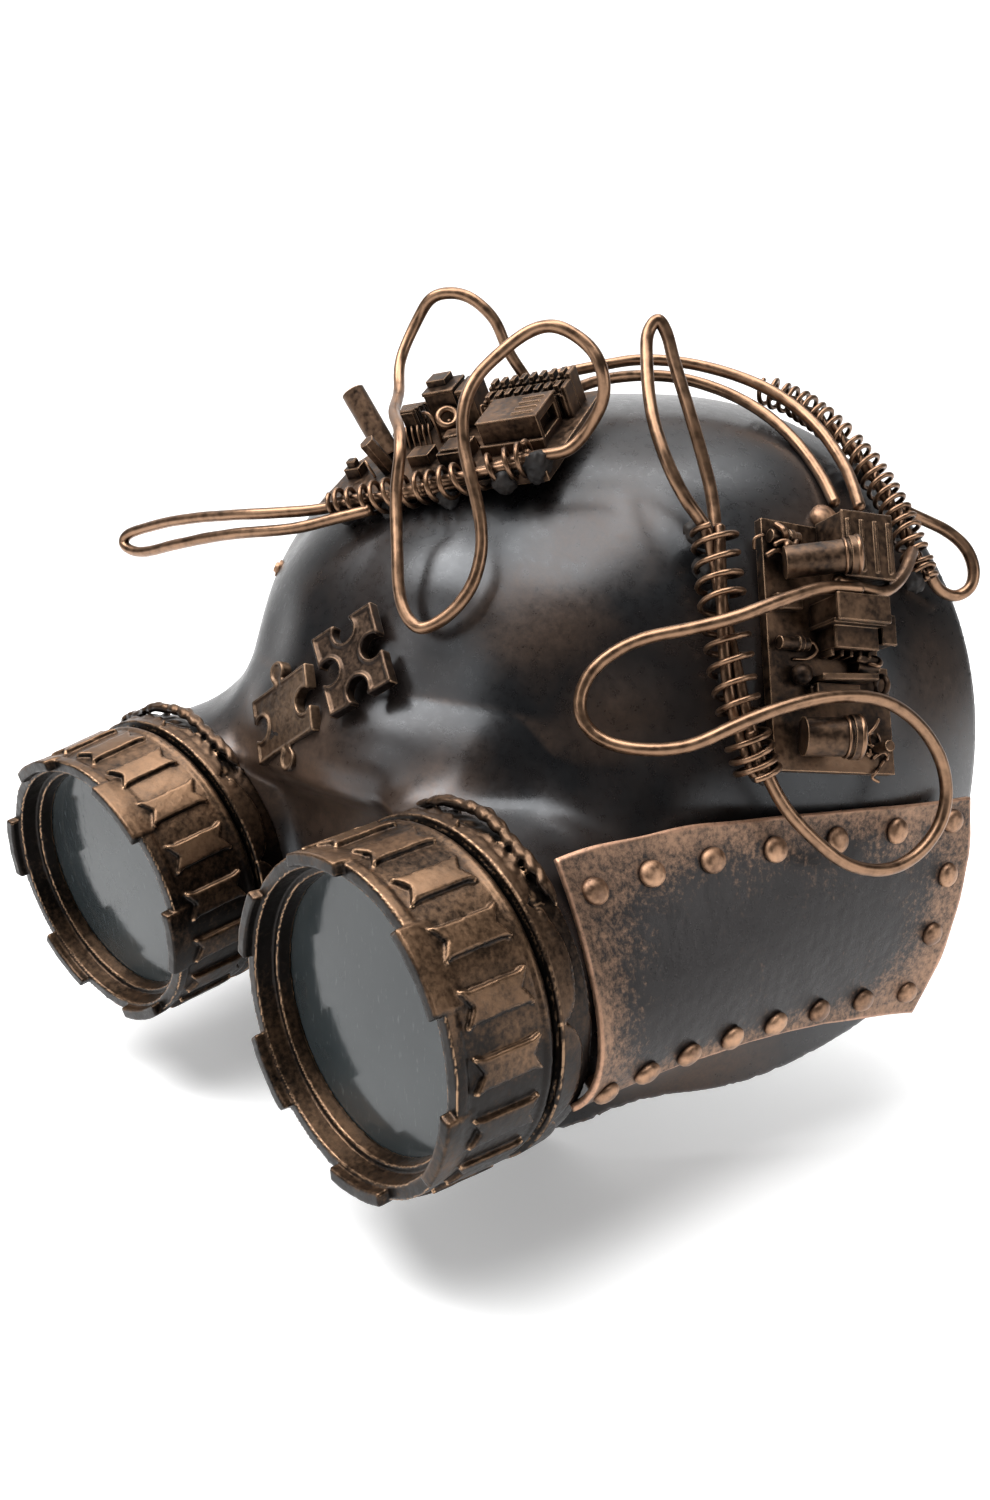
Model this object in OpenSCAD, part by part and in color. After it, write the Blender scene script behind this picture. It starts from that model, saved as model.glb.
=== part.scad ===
// Steampunk half mask: a moulded forehead and temple shell with two goggles whose ribbed
// lens rings unscrew, riveted cheek plates, salvaged circuit parts, springs and copper wire.
// +Z is up, the goggles look along -Y, and +X is the wearer's left.
// The origin is in the rear opening, level with the eyes.

/* [Shell] */
// Half width of the shell at its rear edge
shell_half_w = 85; // [83:0.5:86]
// Depth from the rear edge to the brow
shell_depth = 95.4; // [94:0.2:97]
// Height of the crown above the widest level
crown_h = 78.3; // [77:0.1:79]
// Height of the widest level above the eye line
widest_z = 22.7; // [22:0.1:23.5]
// Wall thickness of the moulding
wall = 2.5; // [2:0.25:3]

/* [Goggles] */
// Distance from one goggle's centre to the other's
goggle_spacing = 80; // [79:0.5:81]
// Distance from the rear edge to the front face of the lens rings
goggle_reach = 124; // [123:0.5:125]
// Angle that each goggle turns in towards the nose
toe_in = 4.3; // [3:0.1:5]
// Angle that the right goggle leans down, as it was glued
right_lean = 7.3; // [6:0.1:8]
// Outer radius of a lens ring at its front
ring_r = 28.4; // [28:0.1:28.6]
// Length of a lens ring
ring_l = 18.6; // [18:0.1:19]
// Number of castellations round the front of a lens ring
tabs = 6; // [4:1:8]
// Number of raised ribs round a lens ring
ribs = 18; // [12:1:20]

/* [Plates] */
// Thickness of a cheek plate
plate_t = 1.4; // [1:0.1:1.8]
// Radius of a rivet head
rivet_r = 2.3; // [1.8:0.1:2.4]

/* [Wire] */
// Diameter of the bent copper wire
wire_d = 2.3; // [2:0.1:3]
// Diameter of the wire that the springs are wound from
spring_wire_d = 1; // [0.8:0.1:1.2]

/* [Hidden] */

copper = [0.62, 0.42, 0.28];
dark = [0.16, 0.16, 0.18];
bronze = [0.40, 0.29, 0.20];
grey = [0.44, 0.47, 0.48];
rubber = [0.08, 0.08, 0.08];

// Shape of the shell's sections: its plan, its height and how round the brow's middle is.
plan_n = 1.85;
rise_m = 2.19;
brow_round = 6;
below_h = 130;
plan_steps = 40;
rise_steps = 22;
lowest_v = -36;
nose_r = 19;

// Socket tube that carries each goggle: distances are behind the goggle's front face.
socket_d0 = 24;
socket_d1 = 70;
socket_r = 28.4;
socket_fn = 56;
eye_r = 25.1;
plate_gap = 0.1;

// Goggle parts, all measured behind the front face.
rear_r = ring_r + 1.3;
mouth_r = 26.2;
step_r = 25.8;
step_d = 3.4;
lip_r = 24.2;
lip_bevel = 0.4;
lip_d = 6;
thread_r = 26.5;
running = 0.08;
lens_t = 2;
lens_play = 0.1;
gasket_t = 1;
gasket_w = 2.3;
spigot_d = lip_d + lens_t + gasket_t + 0.4;
spigot_w = 2.5;
collar_d = ring_l + 1.2;
skirt_d = 27.4;
skirt_r = 30.9;
sleeve_d = 30;
sleeve_w = 2.3;
lobes = 10;
lobe_r = 2;
tab_h = 2;
tab_angle = 28;
tab_turn_left = -20;
tab_turn_right = -8;
rib_h = 0.8;
rib_sunk = 0.4;
ring_taper = atan((rear_r - ring_r) / ring_l);

// Edges of a cheek plate from front to rear, as Bezier control points.
plate_top = [[60, -95.5, 26], [66, -75, 30], [84, -42, 26], [93.8, -11, 24.5]];
plate_mid = [[72.8, -99, 1], [76, -73, 3], [84, -47, 3], [94.5, -11.5, 3]];
plate_low = [[69.2, -101, -13], [74, -82, -11], [80, -50, -13], [90, -17, -21]];
plate_rows = 6;
plate_cols = 18;
rivet_stand = 3.4;

// Seats for the glued-on assemblies: a point, the outward direction and the row direction.
fore_at = [1, -57, 89.5];
fore_out = [0, -0.515, 0.857];
fore_row = [0.97, 0.207, 0.125];
temple_at = [74, -41, 55];
temple_out = [0.837, -0.376, 0.398];
temple_row = [0.455, 0.882, -0.125];

// Wire routes, as points that a smooth curve goes through.
forehead_loops_route = [
    [8, -73, 82], [16, -70.5, 84], [24, -68, 86.5], [30, -65.5, 88], [34, -63, 89], [37, -61, 93],
    [40, -61, 98], [40, -62, 103], [37, -62.5, 107], [32, -65, 110], [27, -67, 109],
    [23.5, -71, 105], [22, -75, 101], [22, -78, 96], [23, -79, 90], [25.5, -80, 85],
    [27.5, -80, 79.5], [29, -80.5, 74.5], [29.5, -81.5, 70], [29, -83.5, 65], [26.5, -86.5, 60.5],
    [22.5, -89, 58], [19, -89.5, 60], [16, -88.5, 64], [13.5, -86.5, 70], [10.5, -84, 76],
    [8.5, -82, 82], [8, -80.5, 88], [4, -77, 92.5], [-3, -72, 95.5], [-9, -65, 99.5],
    [-13, -61, 106], [-12, -57, 114], [-8, -56, 118.5], [-2, -53, 118.5], [3, -50, 114],
    [5, -48, 108]
];
side_loop_route = [
    [7, -73.5, 81.5], [-1, -75, 80], [-8, -77.5, 78.5], [-17, -82, 76.5], [-28, -88, 75.5],
    [-40, -90, 74.5], [-52, -92, 73], [-62, -93, 71], [-69, -94, 69], [-69.5, -94.5, 66.5], [-63, -94, 65.5],
    [-51, -93, 68], [-38, -91, 70.5], [-27, -89, 72], [-18, -86, 73], [-11, -82, 75],
    [-4, -78, 77]
];
crown_upper_route = [
    [7, -34, 104], [13, -26, 106], [19, -22, 107], [26, -16, 106.5], [34, -12, 104.5],
    [42, -10, 101.5], [49, -9, 97.5], [56, -11, 93], [62, -14, 88], [67, -18, 83.5], [71, -22, 79]
];
crown_lower_route = [
    [17, -45, 99], [17.5, -36, 102], [20.5, -27, 103.5], [26, -20, 103.5], [33, -15.5, 101.5],
    [40, -13.5, 98.5], [47, -13, 94.5], [54, -14.5, 89.5], [60.5, -18, 84.5], [66, -22, 79.5]
];
tall_loop_route = [
    [61, -55, 70], [59.5, -56, 76], [57, -59, 81], [53.5, -60, 87], [49.5, -58.5, 93],
    [46, -56, 99], [43.5, -53.5, 104.5], [42, -51.5, 109], [43, -50, 111.5], [44.5, -49, 109],
    [46, -49, 105], [48.5, -49.5, 100], [51.5, -50, 94], [54, -50, 88], [57, -51, 81.5],
    [59.5, -53, 75.5]
];
temple_loops_route = [
    [80, -38, 66], [76.5, -45, 66.5], [74, -54, 65], [70, -62, 62.5], [64.5, -67.5, 60.5],
    [58, -72, 58.5], [53.5, -76, 55], [51.5, -79, 50.5], [52.5, -80.5, 45.5], [56.5, -79.5, 42],
    [62.5, -76.5, 41], [69, -72, 42], [75, -67, 46], [79.5, -60, 48.5], [84, -51, 49.5],
    [88, -42, 48], [91.5, -35, 43.5], [94.5, -30.5, 37], [96, -29, 30], [96, -31, 24],
    [94.5, -36, 19.5], [92, -43, 18], [88.5, -50, 20], [84.5, -55.5, 25], [80, -59, 31],
    [76.5, -60.5, 37.5], [74, -61, 43]
];
rear_loop_route = [
    [74, -9, 78], [77, -5, 76], [80.5, -2.5, 74], [84, -1.5, 71], [86, -1.5, 67], [86, -2.5, 63.5],
    [84, -5, 62], [82, -9, 64], [81, -12, 68]
];
connector_link_route = [
    [77, -41, 67.5], [79.5, -37, 66], [81.5, -32, 65], [82, -27, 66.5], [81, -21, 69],
    [79.5, -16, 71]
];
forehead_spring_line = [[-13, -79, 77.5], [-1, -75, 80], [13, -71.5, 83], [27.5, -66.5, 87.5]];
temple_spring_line = [[60, -54.5, 76], [65, -58, 63], [70.5, -61, 49], [75.5, -60.5, 36]];
crown_spring_line = [
    [40, -6, 101], [48, -5.5, 98], [56.5, -6.5, 93], [65, -8.5, 86.5], [72.5, -11, 79],
    [77.5, -13, 72.5], [81.5, -14.5, 66]
];

function unit(v) = v / norm(v);
function signed_pow(x, p) = sign(x) * pow(abs(x), p);
function mirror_x(p, side) = [p.x * side, p.y, p.z];

// One point of the dome. u runs from the right rear edge to the left, v from below to the crown.
function dome_point(u, v, inset) =
    let (r = pow(cos(v), 2 / rise_m),
         h = v > 0 ? crown_h - inset : below_h - inset,
         across = (shell_half_w - inset) * r * signed_pow(sin(u), 2 / plan_n),
         x = sign(across) * sqrt(pow(abs(across) + brow_round, 2) - brow_round * brow_round))
    [x, -(shell_depth - inset) * r * pow(cos(u), 2 / plan_n), widest_z + h * signed_pow(sin(v), 2 / rise_m)];

// A row of dome points, carried past the rear edge by back.
function dome_ring(v, inset, back) =
    let (row = [for (i = [0:plan_steps]) dome_point(-90 + 180 * i / plan_steps, v, inset)])
    back == 0 ? row : concat([row[0] + [0, back, 0]], row, [row[plan_steps] + [0, back, 0]]);

function flatten(rows) = [for (row = rows) each row];

// Faces of a stack of closed rings with flat ends.
function stack_faces(rings, n) = concat(
    [[for (i = [0:n - 1]) i]],
    [for (j = [0:rings - 2]) for (i = [0:n - 1])
        let (a = j * n + i, b = j * n + (i + 1) % n) each [[a, a + n, b + n], [a, b + n, b]]],
    [[for (i = [n - 1:-1:0]) (rings - 1) * n + i]]
);

module dome(inset, back) {
    rings = [for (j = [0:rise_steps]) dome_ring(lowest_v + (89 - lowest_v) * j / rise_steps, inset, back)];
    polyhedron(flatten(rings), stack_faces(rise_steps + 1, len(rings[0])), convexity = 8);
}

// Catmull-Rom curve through a route, with k pieces to each stretch.
function smooth_route(p, k) = let (n = len(p)) concat(
    [for (i = [0:n - 2]) for (j = [0:k - 1])
        let (a = p[max(i - 1, 0)], b = p[i], c = p[i + 1], d = p[min(i + 2, n - 1)], t = j / k)
        0.5 * (2 * b + (c - a) * t + (2 * a - 5 * b + 4 * c - d) * t * t
            + (3 * b - a - 3 * c + d) * t * t * t)],
    [p[n - 1]]
);
function tangents(p) = let (n = len(p))
    [for (i = [0:n - 1]) unit(p[min(i + 1, n - 1)] - p[max(i - 1, 0)])];
function square_off(v, t) = unit(v - (v * t) * t);
// Side directions carried along a curve without twist.
function side_dirs(t, start) =
    [for (i = 0, s = square_off(start, t[0]); i < len(t);
        i = i + 1, s = i < len(t) ? square_off(s, t[i]) : s) s];
// Places on a polyline at equal steps of its index.
function resample(p, m) = let (n = len(p) - 1)
    [for (i = [0:m]) let (f = min(i * n / m, n - 0.0001), k = floor(f)) p[k] + (p[k + 1] - p[k]) * (f - k)];

module tube(p, r, sides, start = [0, 0.3, 1]) {
    t = tangents(p);
    s = side_dirs(t, start);
    rings = [for (i = [0:len(p) - 1]) [for (a = [0:sides - 1])
        p[i] + r * (cos(360 * a / sides) * s[i] + sin(360 * a / sides) * cross(t[i], s[i]))]];
    polyhedron(flatten(rings), stack_faces(len(p), sides), convexity = 10);
}

// A bent wire of round section along a route.
module wire(route, k = 2) {
    color(copper) tube(smooth_route(route, k), wire_d / 2, 8);
}

// An open coil spring round a curved centre line.
module coil(line, coil_r, turns) {
    steps = 8;
    c = resample(smooth_route(line, 12), turns * steps);
    t = tangents(c);
    s = side_dirs(t, [0, -0.6, 1]);
    p = [for (i = [0:turns * steps]) let (a = 360 * i / steps)
        c[i] + coil_r * (cos(a) * s[i] + sin(a) * cross(t[i], s[i]))];
    color(copper) tube(p, spring_wire_d / 2, 5, p[0] - c[0]);
}

// Carries its children to a seat: local +Z points out and local +X along the row.
module seat(at, out, row) {
    z = unit(out);
    x = unit(row - (row * z) * z);
    y = cross(z, x);
    multmatrix([[x.x, y.x, z.x, at.x], [x.y, y.y, z.y, at.y], [x.z, y.z, z.z, at.z], [0, 0, 0, 1]])
        children();
}
module on_forehead() { seat(fore_at, fore_out, fore_row) children(); }
module on_temple() { seat(temple_at, temple_out, temple_row) children(); }

// Carries its children to a goggle: the local origin is its front face's centre and +Z looks out.
module on_goggle(side) {
    translate([side * goggle_spacing / 2, -goggle_reach, 0])
        rotate([90 + (side < 0 ? right_lean : 0), 0, -side * toe_in]) children();
}

// Side view of the shell, cut by its lower edge.
module side_outline() {
    polygon([[6, -17], [6, 120], [-130, 120], [-130, -36], [-92, -38], [-77, -46], [-71, -44],
        [-63, -35], [-46, -32], [-24, -24], [-8, -18]]);
}

module shell() {
    color(dark) resize([0, 0, 0]) difference() {
        union() {
            dome(0, 0);
            for (side = [-1, 1]) on_goggle(side) translate([0, 0, -socket_d1])
                cylinder(h = socket_d1 - socket_d0, r = socket_r, $fn = socket_fn);
        }
        dome(wall, 8);
        for (side = [-1, 1]) on_goggle(side) {
            translate([0, 0, -socket_d1 - 2])
                cylinder(h = socket_d1 - socket_d0 - 1, r = socket_r - wall, $fn = socket_fn);
            translate([0, 0, -socket_d0 - wall - 2]) cylinder(h = wall + 4, r = eye_r, $fn = socket_fn);
        }
        rotate([90, 0, -90]) translate([0, 0, -110]) linear_extrude(220) difference() {
            translate([-10, -110]) square([150, 260]);
            mirror([1, 0]) side_outline();
        }
        translate([0, -60, -46]) rotate([90, 0, 0]) scale([1, 1.5, 1]) cylinder(h = 60, r = nose_r, $fn = 40);
        translate([-100, 0, -100]) cube([200, 20, 300]);
    }
}

function bezier(p, t) =
    pow(1 - t, 3) * p[0] + 3 * t * pow(1 - t, 2) * p[1] + 3 * t * t * (1 - t) * p[2] + pow(t, 3) * p[3];
// A place on the plate: s from front to rear, h from the lower edge at -1 to the upper at 1.
function plate_place(s, h) =
    let (a = bezier(plate_low, s), b = bezier(plate_mid, s), c = bezier(plate_top, s))
    a * (h * h - h) / 2 + b * (1 - h * h) + c * (h * h + h) / 2;
function plate_out(s, h) = unit(cross(plate_place(s + 0.01, h) - plate_place(s - 0.01, h),
    plate_place(s, h + 0.01) - plate_place(s, h - 0.01)));

module cheek_plate(side) {
    function skin(t) = [for (j = [0:plate_rows]) for (i = [0:plate_cols])
        let (s = i / plate_cols, h = 2 * j / plate_rows - 1)
        mirror_x(plate_place(s, h) - t * plate_out(s, h), side)];
    n = (plate_rows + 1) * (plate_cols + 1);
    w = plate_cols + 1;
    quads = [for (j = [0:plate_rows - 1]) for (i = [0:plate_cols - 1])
        let (a = j * w + i) [a, a + 1, a + w + 1, a + w]];
    rim = concat([for (i = [0:plate_cols]) i], [for (j = [1:plate_rows]) j * w + plate_cols],
        [for (i = [plate_cols - 1:-1:0]) plate_rows * w + i], [for (j = [plate_rows - 1:-1:1]) j * w]);
    faces = concat(
        [for (q = quads) each [[q[2], q[1], q[0]], [q[3], q[2], q[0]]]],
        [for (q = quads) each [[q[0] + n, q[1] + n, q[2] + n], [q[0] + n, q[2] + n, q[3] + n]]],
        [for (i = [0:len(rim) - 1])
            let (a = rim[i], b = rim[(i + 1) % len(rim)]) each [[a, b, b + n], [a, b + n, a + n]]]
    );
    color(bronze) resize([0, 0, 0]) difference() {
        polyhedron(concat(skin(0), skin(plate_t)),
            side > 0 ? faces : [for (f = faces) [for (k = [len(f) - 1:-1:0]) f[k]]], convexity = 6);
        on_goggle(side) {
            translate([0, 0, -socket_d1])
                cylinder(h = socket_d1 - skirt_d, r = socket_r + plate_gap, $fn = socket_fn);
            translate([0, 0, -skirt_d - plate_gap])
                cylinder(h = skirt_d, r = skirt_r + plate_gap, $fn = socket_fn);
        }
    }
}

// Rivets along the plate's upper, rear and lower edges, as [s, h].
rivet_places = concat(
    [for (i = [0:6]) [0.07 + 0.88 * i / 6, 0.8]],
    [[0.95, 0.3], [0.95, -0.25]],
    [for (i = [0:7]) [0.95 - 0.88 * i / 7, -0.8]]
);

module plate_rivets(side) {
    color(copper) for (r = rivet_places) {
        out = mirror_x(plate_out(r[0], r[1]), side);
        seat(mirror_x(plate_place(r[0], r[1]), side), out, [0, 1, 0]) {
            translate([0, 0, -rivet_stand]) cylinder(h = rivet_stand + 0.2, r = 0.9, $fn = 24);
            intersection() {
                translate([0, 0, -rivet_r * 0.35]) sphere(r = rivet_r, $fn = 32);
                cylinder(h = rivet_r, r = rivet_r, $fn = 32);
            }
        }
    }
}

// Collar behind a lens ring, with a scalloped skirt, a plain spigot for the ring and a sleeve
// that is glued into the shell's eye opening.
module goggle_cup(side) {
    color(bronze) on_goggle(side) {
        difference() {
            rotate_extrude($fn = 96) polygon([
                [thread_r - spigot_w, -spigot_d], [thread_r, -spigot_d],
                [thread_r, -collar_d + 0.6], [skirt_r - 0.6, -collar_d], [skirt_r, -collar_d - 1],
                [skirt_r, -skirt_d], [skirt_r - 1.2, -skirt_d], [skirt_r - 1.4, -socket_d0 + 0.1],
                [eye_r - 0.1, -socket_d0 + 0.1], [eye_r - 0.1, -sleeve_d], [eye_r - 0.1 - sleeve_w, -sleeve_d]
            ]);
            for (i = [0:lobes - 1]) rotate([0, 0, 360 * (i + 0.5) / lobes])
                translate([skirt_r - 3, 0, -skirt_d - 0.6]) rotate([0, 90, 0])
                    cylinder(h = 5, r = lobe_r, $fn = 24);
        }
    }
}

// A raised ribbon with a notch in each end, centred half way along the ring.
module ribbon_outline() {
    half = 2.6;
    waist = 2;
    end = 6;
    notch = 1.8;
    polygon([[-half, end], [0, end - notch], [half, end], [waist, end - 3], [waist, 3 - end],
        [half, -end], [0, notch - end], [-half, -end], [-waist, 3 - end], [-waist, end - 3]]);
}

module lens_ring(side) {
    color(copper) on_goggle(side) {
        rotate_extrude($fn = 96) polygon([
            [ring_r, 0], [rear_r, -ring_l + 0.8], [rear_r - 0.6, -ring_l], [thread_r + running, -ring_l],
            [thread_r + running, -lip_d], [lip_r, -lip_d], [lip_r + lip_bevel, -step_d],
            [step_r, -step_d], [mouth_r, 0]
        ]);
        for (i = [0:tabs - 1]) rotate([0, 0, (side > 0 ? tab_turn_left : tab_turn_right) + 360 * i / tabs])
            rotate([0, 0, -tab_angle / 2]) rotate_extrude(angle = tab_angle, $fn = 96)
                polygon([[mouth_r + 0.5, -1], [ring_r - 0.5, -1.7], [ring_r + 0.5, -2],
                    [ring_r + 0.6, tab_h - 0.8], [ring_r + 0.1, tab_h], [mouth_r + 0.7, tab_h]]);
        for (i = [0:ribs - 1]) rotate([0, 0, 360 * (i + 0.25) / ribs])
            translate([0, 0, -ring_l / 2]) rotate([90 - ring_taper, 0, 0])
                translate([0, 0, ring_r - rib_sunk])
                    linear_extrude((rear_r - ring_r) / 2 + rib_sunk + rib_h) ribbon_outline();
    }
}

module lens(side) {
    color(grey) on_goggle(side) translate([0, 0, -lip_d - lens_t - lens_play])
        cylinder(h = lens_t, r = thread_r - 2 * lens_play, $fn = 96);
}

module lens_gasket(side) {
    color(rubber) on_goggle(side) translate([0, 0, -lip_d - lens_t - gasket_t - lens_play])
        difference() {
            cylinder(h = gasket_t, r = thread_r - 2 * lens_play, $fn = 96);
            translate([0, 0, -1])
                cylinder(h = gasket_t + 2, r = thread_r - 2 * lens_play - gasket_w, $fn = 96);
        }
}

// A jigsaw piece: w and l are its body, and each side is 1 for a knob, -1 for a notch or 0.
module jigsaw(w, l, sides) {
    knob = 2.4;
    reach = 2;
    ends = [[w / 2, 0], [0, l / 2], [-w / 2, 0], [0, -l / 2]];
    color(copper) linear_extrude(2) difference() {
        union() {
            square([w, l], center = true);
            for (i = [0:3]) if (sides[i] > 0) {
                translate(ends[i] + unit(ends[i]) * reach) circle(r = knob, $fn = 32);
                translate(ends[i]) rotate(90 * i) translate([-1, -1.3]) square([3, 2.6]);
            }
        }
        for (i = [0:3]) if (sides[i] < 0) {
            translate(ends[i] - unit(ends[i]) * reach) circle(r = knob, $fn = 32);
            translate(ends[i]) rotate(90 * i) translate([-2, -1.3]) square([3, 2.6]);
        }
    }
}
module puzzle_piece_lower() {
    seat([-9, -95.6, 37.5], [-0.12, -0.94, 0.26], [0.85, 0.02, 0.53]) jigsaw(20, 14, [-1, 1, -1, 1]);
}
module puzzle_piece_upper() {
    seat([8.5, -92.8, 50.5], [0.1, -0.91, 0.4], [0.62, -0.35, -0.7]) jigsaw(17, 15, [-1, -1, -1, -1]);
}

module brow_stud() {
    color(copper) seat([-42, -71, 61.5], [-0.6, -0.7, 0.4], [0, 0, 1]) {
        cylinder(h = 1.5, r = 2, $fn = 32);
        translate([0, 0, 1]) cylinder(h = 1.2, r1 = 1.6, r2 = 1, $fn = 32);
    }
}

module box_at(at, size) { translate(at - [size.x / 2, size.y / 2, 0]) cube(size); }

module forehead_board() {
    color(bronze) on_forehead() translate([0, 0, -1]) linear_extrude(2)
        polygon([[-25, -19], [27, -17], [27, 13], [-14, 15], [-25, -4]]);
}
module forehead_capacitor() {
    color(bronze) on_forehead() translate([-16, -3, 1]) rotate([-24, -30, 0]) {
        cylinder(h = 15, r = 2.5, $fn = 48);
        translate([0, 0, 15]) difference() {
            cylinder(h = 0.8, r = 2.5, $fn = 48);
            translate([0, 0, 0.3]) cylinder(h = 1, r = 1.9, $fn = 48);
        }
    }
}
module forehead_fuse() {
    color(copper) on_forehead() translate([-12.5, -9, 1]) rotate([10, -12, 0])
        cylinder(h = 8, r = 1.7, $fn = 6);
}
module forehead_relay() {
    color(bronze) on_forehead() {
        box_at([-4.5, 8, 1], [7, 6, 8.6]);
        box_at([-5.5, 9, 9.6], [4.5, 3.6, 1.6]);
        box_at([1.6, 8, 1], [3.4, 6.4, 8]);
    }
}
module forehead_socket() {
    color(bronze) on_forehead() difference() {
        box_at([16.5, -3, 1], [13, 9, 6.4]);
        for (i = [0:3]) box_at([19, -5.7 + 1.8 * i, 6.4], [5.4, 0.9, 2]);
        translate([21, -6.5, 2.6]) cube([4, 7, 3.2]);
    }
}
module forehead_pin_headers() {
    color(bronze) on_forehead() for (row = [0:1]) {
        box_at([15, 4.6 + 3.6 * row, 1], [18, 2.8, 5 + row]);
        for (i = [0:7]) box_at([7.4 + 2.2 * i, 4.6 + 3.6 * row, 6 + row], [1, 2.2, 1.6]);
    }
}
module forehead_chips() {
    color(bronze) on_forehead() {
        for (i = [0:3]) box_at([-13.5 + 0.6 * i, 8.5 - 1.9 * i, 1], [6 - i, 1.3, 5 + 0.5 * i]);
        box_at([4, -8, 1], [6, 6, 3]);
        box_at([-5, -7, 1], [5, 4, 2.4]);
        box_at([-21, -9, 1], [3.6, 3, 2.2]);
    }
}

module temple_board() {
    color(bronze) resize([0, 0, 0]) difference() {
        on_temple() translate([0, 0, -1]) linear_extrude(2)
            polygon([[-10.5, -22.5], [15, -22.5], [15, -3], [13, -3], [13, 22], [-10.5, 23]]);
        dome(-0.05, 0);
    }
}
module temple_slot_connector() {
    color(bronze) on_temple() difference() {
        box_at([6.5, 17.2, 1], [10.5, 11.8, 7.4]);
        for (i = [0:2]) box_at([3.6 + 2.9 * i, 19.4, 5.4], [1.6, 5.6, 4]);
        lay_upper_can() rotate([0, 90, 0]) cylinder(h = 16, r = 3.5, $fn = 48);
    }
}
// A round can that lies on the board and ends in a turned rim.
module can(length, r) {
    rotate([0, 90, 0]) {
        cylinder(h = length, r = r, $fn = 48);
        translate([0, 0, length]) difference() {
            cylinder(h = 1.4, r = r + 0.5, $fn = 48);
            translate([0, 0, 0.6]) cylinder(h = 1, r = r - 0.8, $fn = 48);
        }
    }
}
module lay_upper_can() { translate([-8.5, 13.8, 4.4]) rotate([0, -28, 4]) children(); }
module temple_capacitor_upper() {
    color(bronze) on_temple() lay_upper_can() can(11, 2.9);
}
module temple_capacitor_lower() {
    color(bronze) on_temple() translate([-7, -17, 4.5]) rotate([0, -20, -2]) can(8, 3.4);
}
module temple_relay() {
    color(bronze) on_temple() {
        box_at([4, 5.4, 1], [10.5, 4.4, 8]);
        box_at([4.4, 1, 1], [8.5, 4, 5]);
        box_at([11.2, 2.6, 1], [2.6, 5, 5.4]);
    }
}
module temple_small_parts() {
    color(copper) on_temple() {
        for (p = [[-9, 0, 2.1], [-9.6, 19.4, 2.1]]) translate(p) rotate([0, 90, 0]) {
            cylinder(h = 6, r = 1.2, $fn = 32);
            translate([0, 0, 3.6]) cylinder(h = 1, r = 1.5, $fn = 32);
        }
        translate([-5, -5.6, 2.6]) sphere(r = 1.9, $fn = 32);
        box_at([2, -8, 1], [9, 1.8, 2.6]);
        translate([7, -3.4, 2.2]) rotate([0, 90, 0]) cylinder(h = 4.6, r = 1.1, $fn = 32);
        translate([11, -18, 1]) cylinder(h = 4, r = 1, $fn = 32);
    }
}
module temple_eyelet() {
    color(copper) on_temple() translate([12.2, -6.6, 2.4]) rotate([0, 90, 0])
        rotate_extrude($fn = 48) translate([1.7, 0]) circle(r = 0.55, $fn = 16);
}

module forehead_spring() { coil(forehead_spring_line, 2.9, 15); }
module temple_spring() { coil(temple_spring_line, 3.8, 14); }
module crown_spring() { coil(crown_spring_line, 2.6, 24); }
module wire_forehead_loops() { wire(forehead_loops_route); }
module wire_side_loop() { wire(side_loop_route); }
module wire_crown_upper() { wire(crown_upper_route); }
module wire_crown_lower() { wire(crown_lower_route); }
module wire_tall_loop() { wire(tall_loop_route); }
module wire_temple_loops() { wire(temple_loops_route); }
module wire_rear_loop() { wire(rear_loop_route, 3); }
module wire_connector_link() { wire(connector_link_route); }

shell();
cheek_plate(1);  // cheek_plate_left
cheek_plate(-1);  // cheek_plate_right
plate_rivets(1);  // plate_rivets_left
plate_rivets(-1);  // plate_rivets_right
goggle_cup(1);  // goggle_cup_left
goggle_cup(-1);  // goggle_cup_right
lens_ring(1);  // lens_ring_left
lens_ring(-1);  // lens_ring_right
lens(1);  // lens_left
lens(-1);  // lens_right
lens_gasket(1);  // lens_gasket_left
lens_gasket(-1);  // lens_gasket_right
puzzle_piece_lower();
puzzle_piece_upper();
brow_stud();
forehead_board();
forehead_capacitor();
forehead_fuse();
forehead_relay();
forehead_socket();
forehead_pin_headers();
forehead_chips();
temple_board();
temple_slot_connector();
temple_capacitor_upper();
temple_capacitor_lower();
temple_relay();
temple_small_parts();
temple_eyelet();
forehead_spring();
temple_spring();
crown_spring();
wire_forehead_loops();
wire_side_loop();
wire_crown_upper();
wire_crown_lower();
wire_tall_loop();
wire_temple_loops();
wire_rear_loop();
wire_connector_link();
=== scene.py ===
import math

import bpy
import numpy as np
from mathutils import Matrix, Vector


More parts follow.
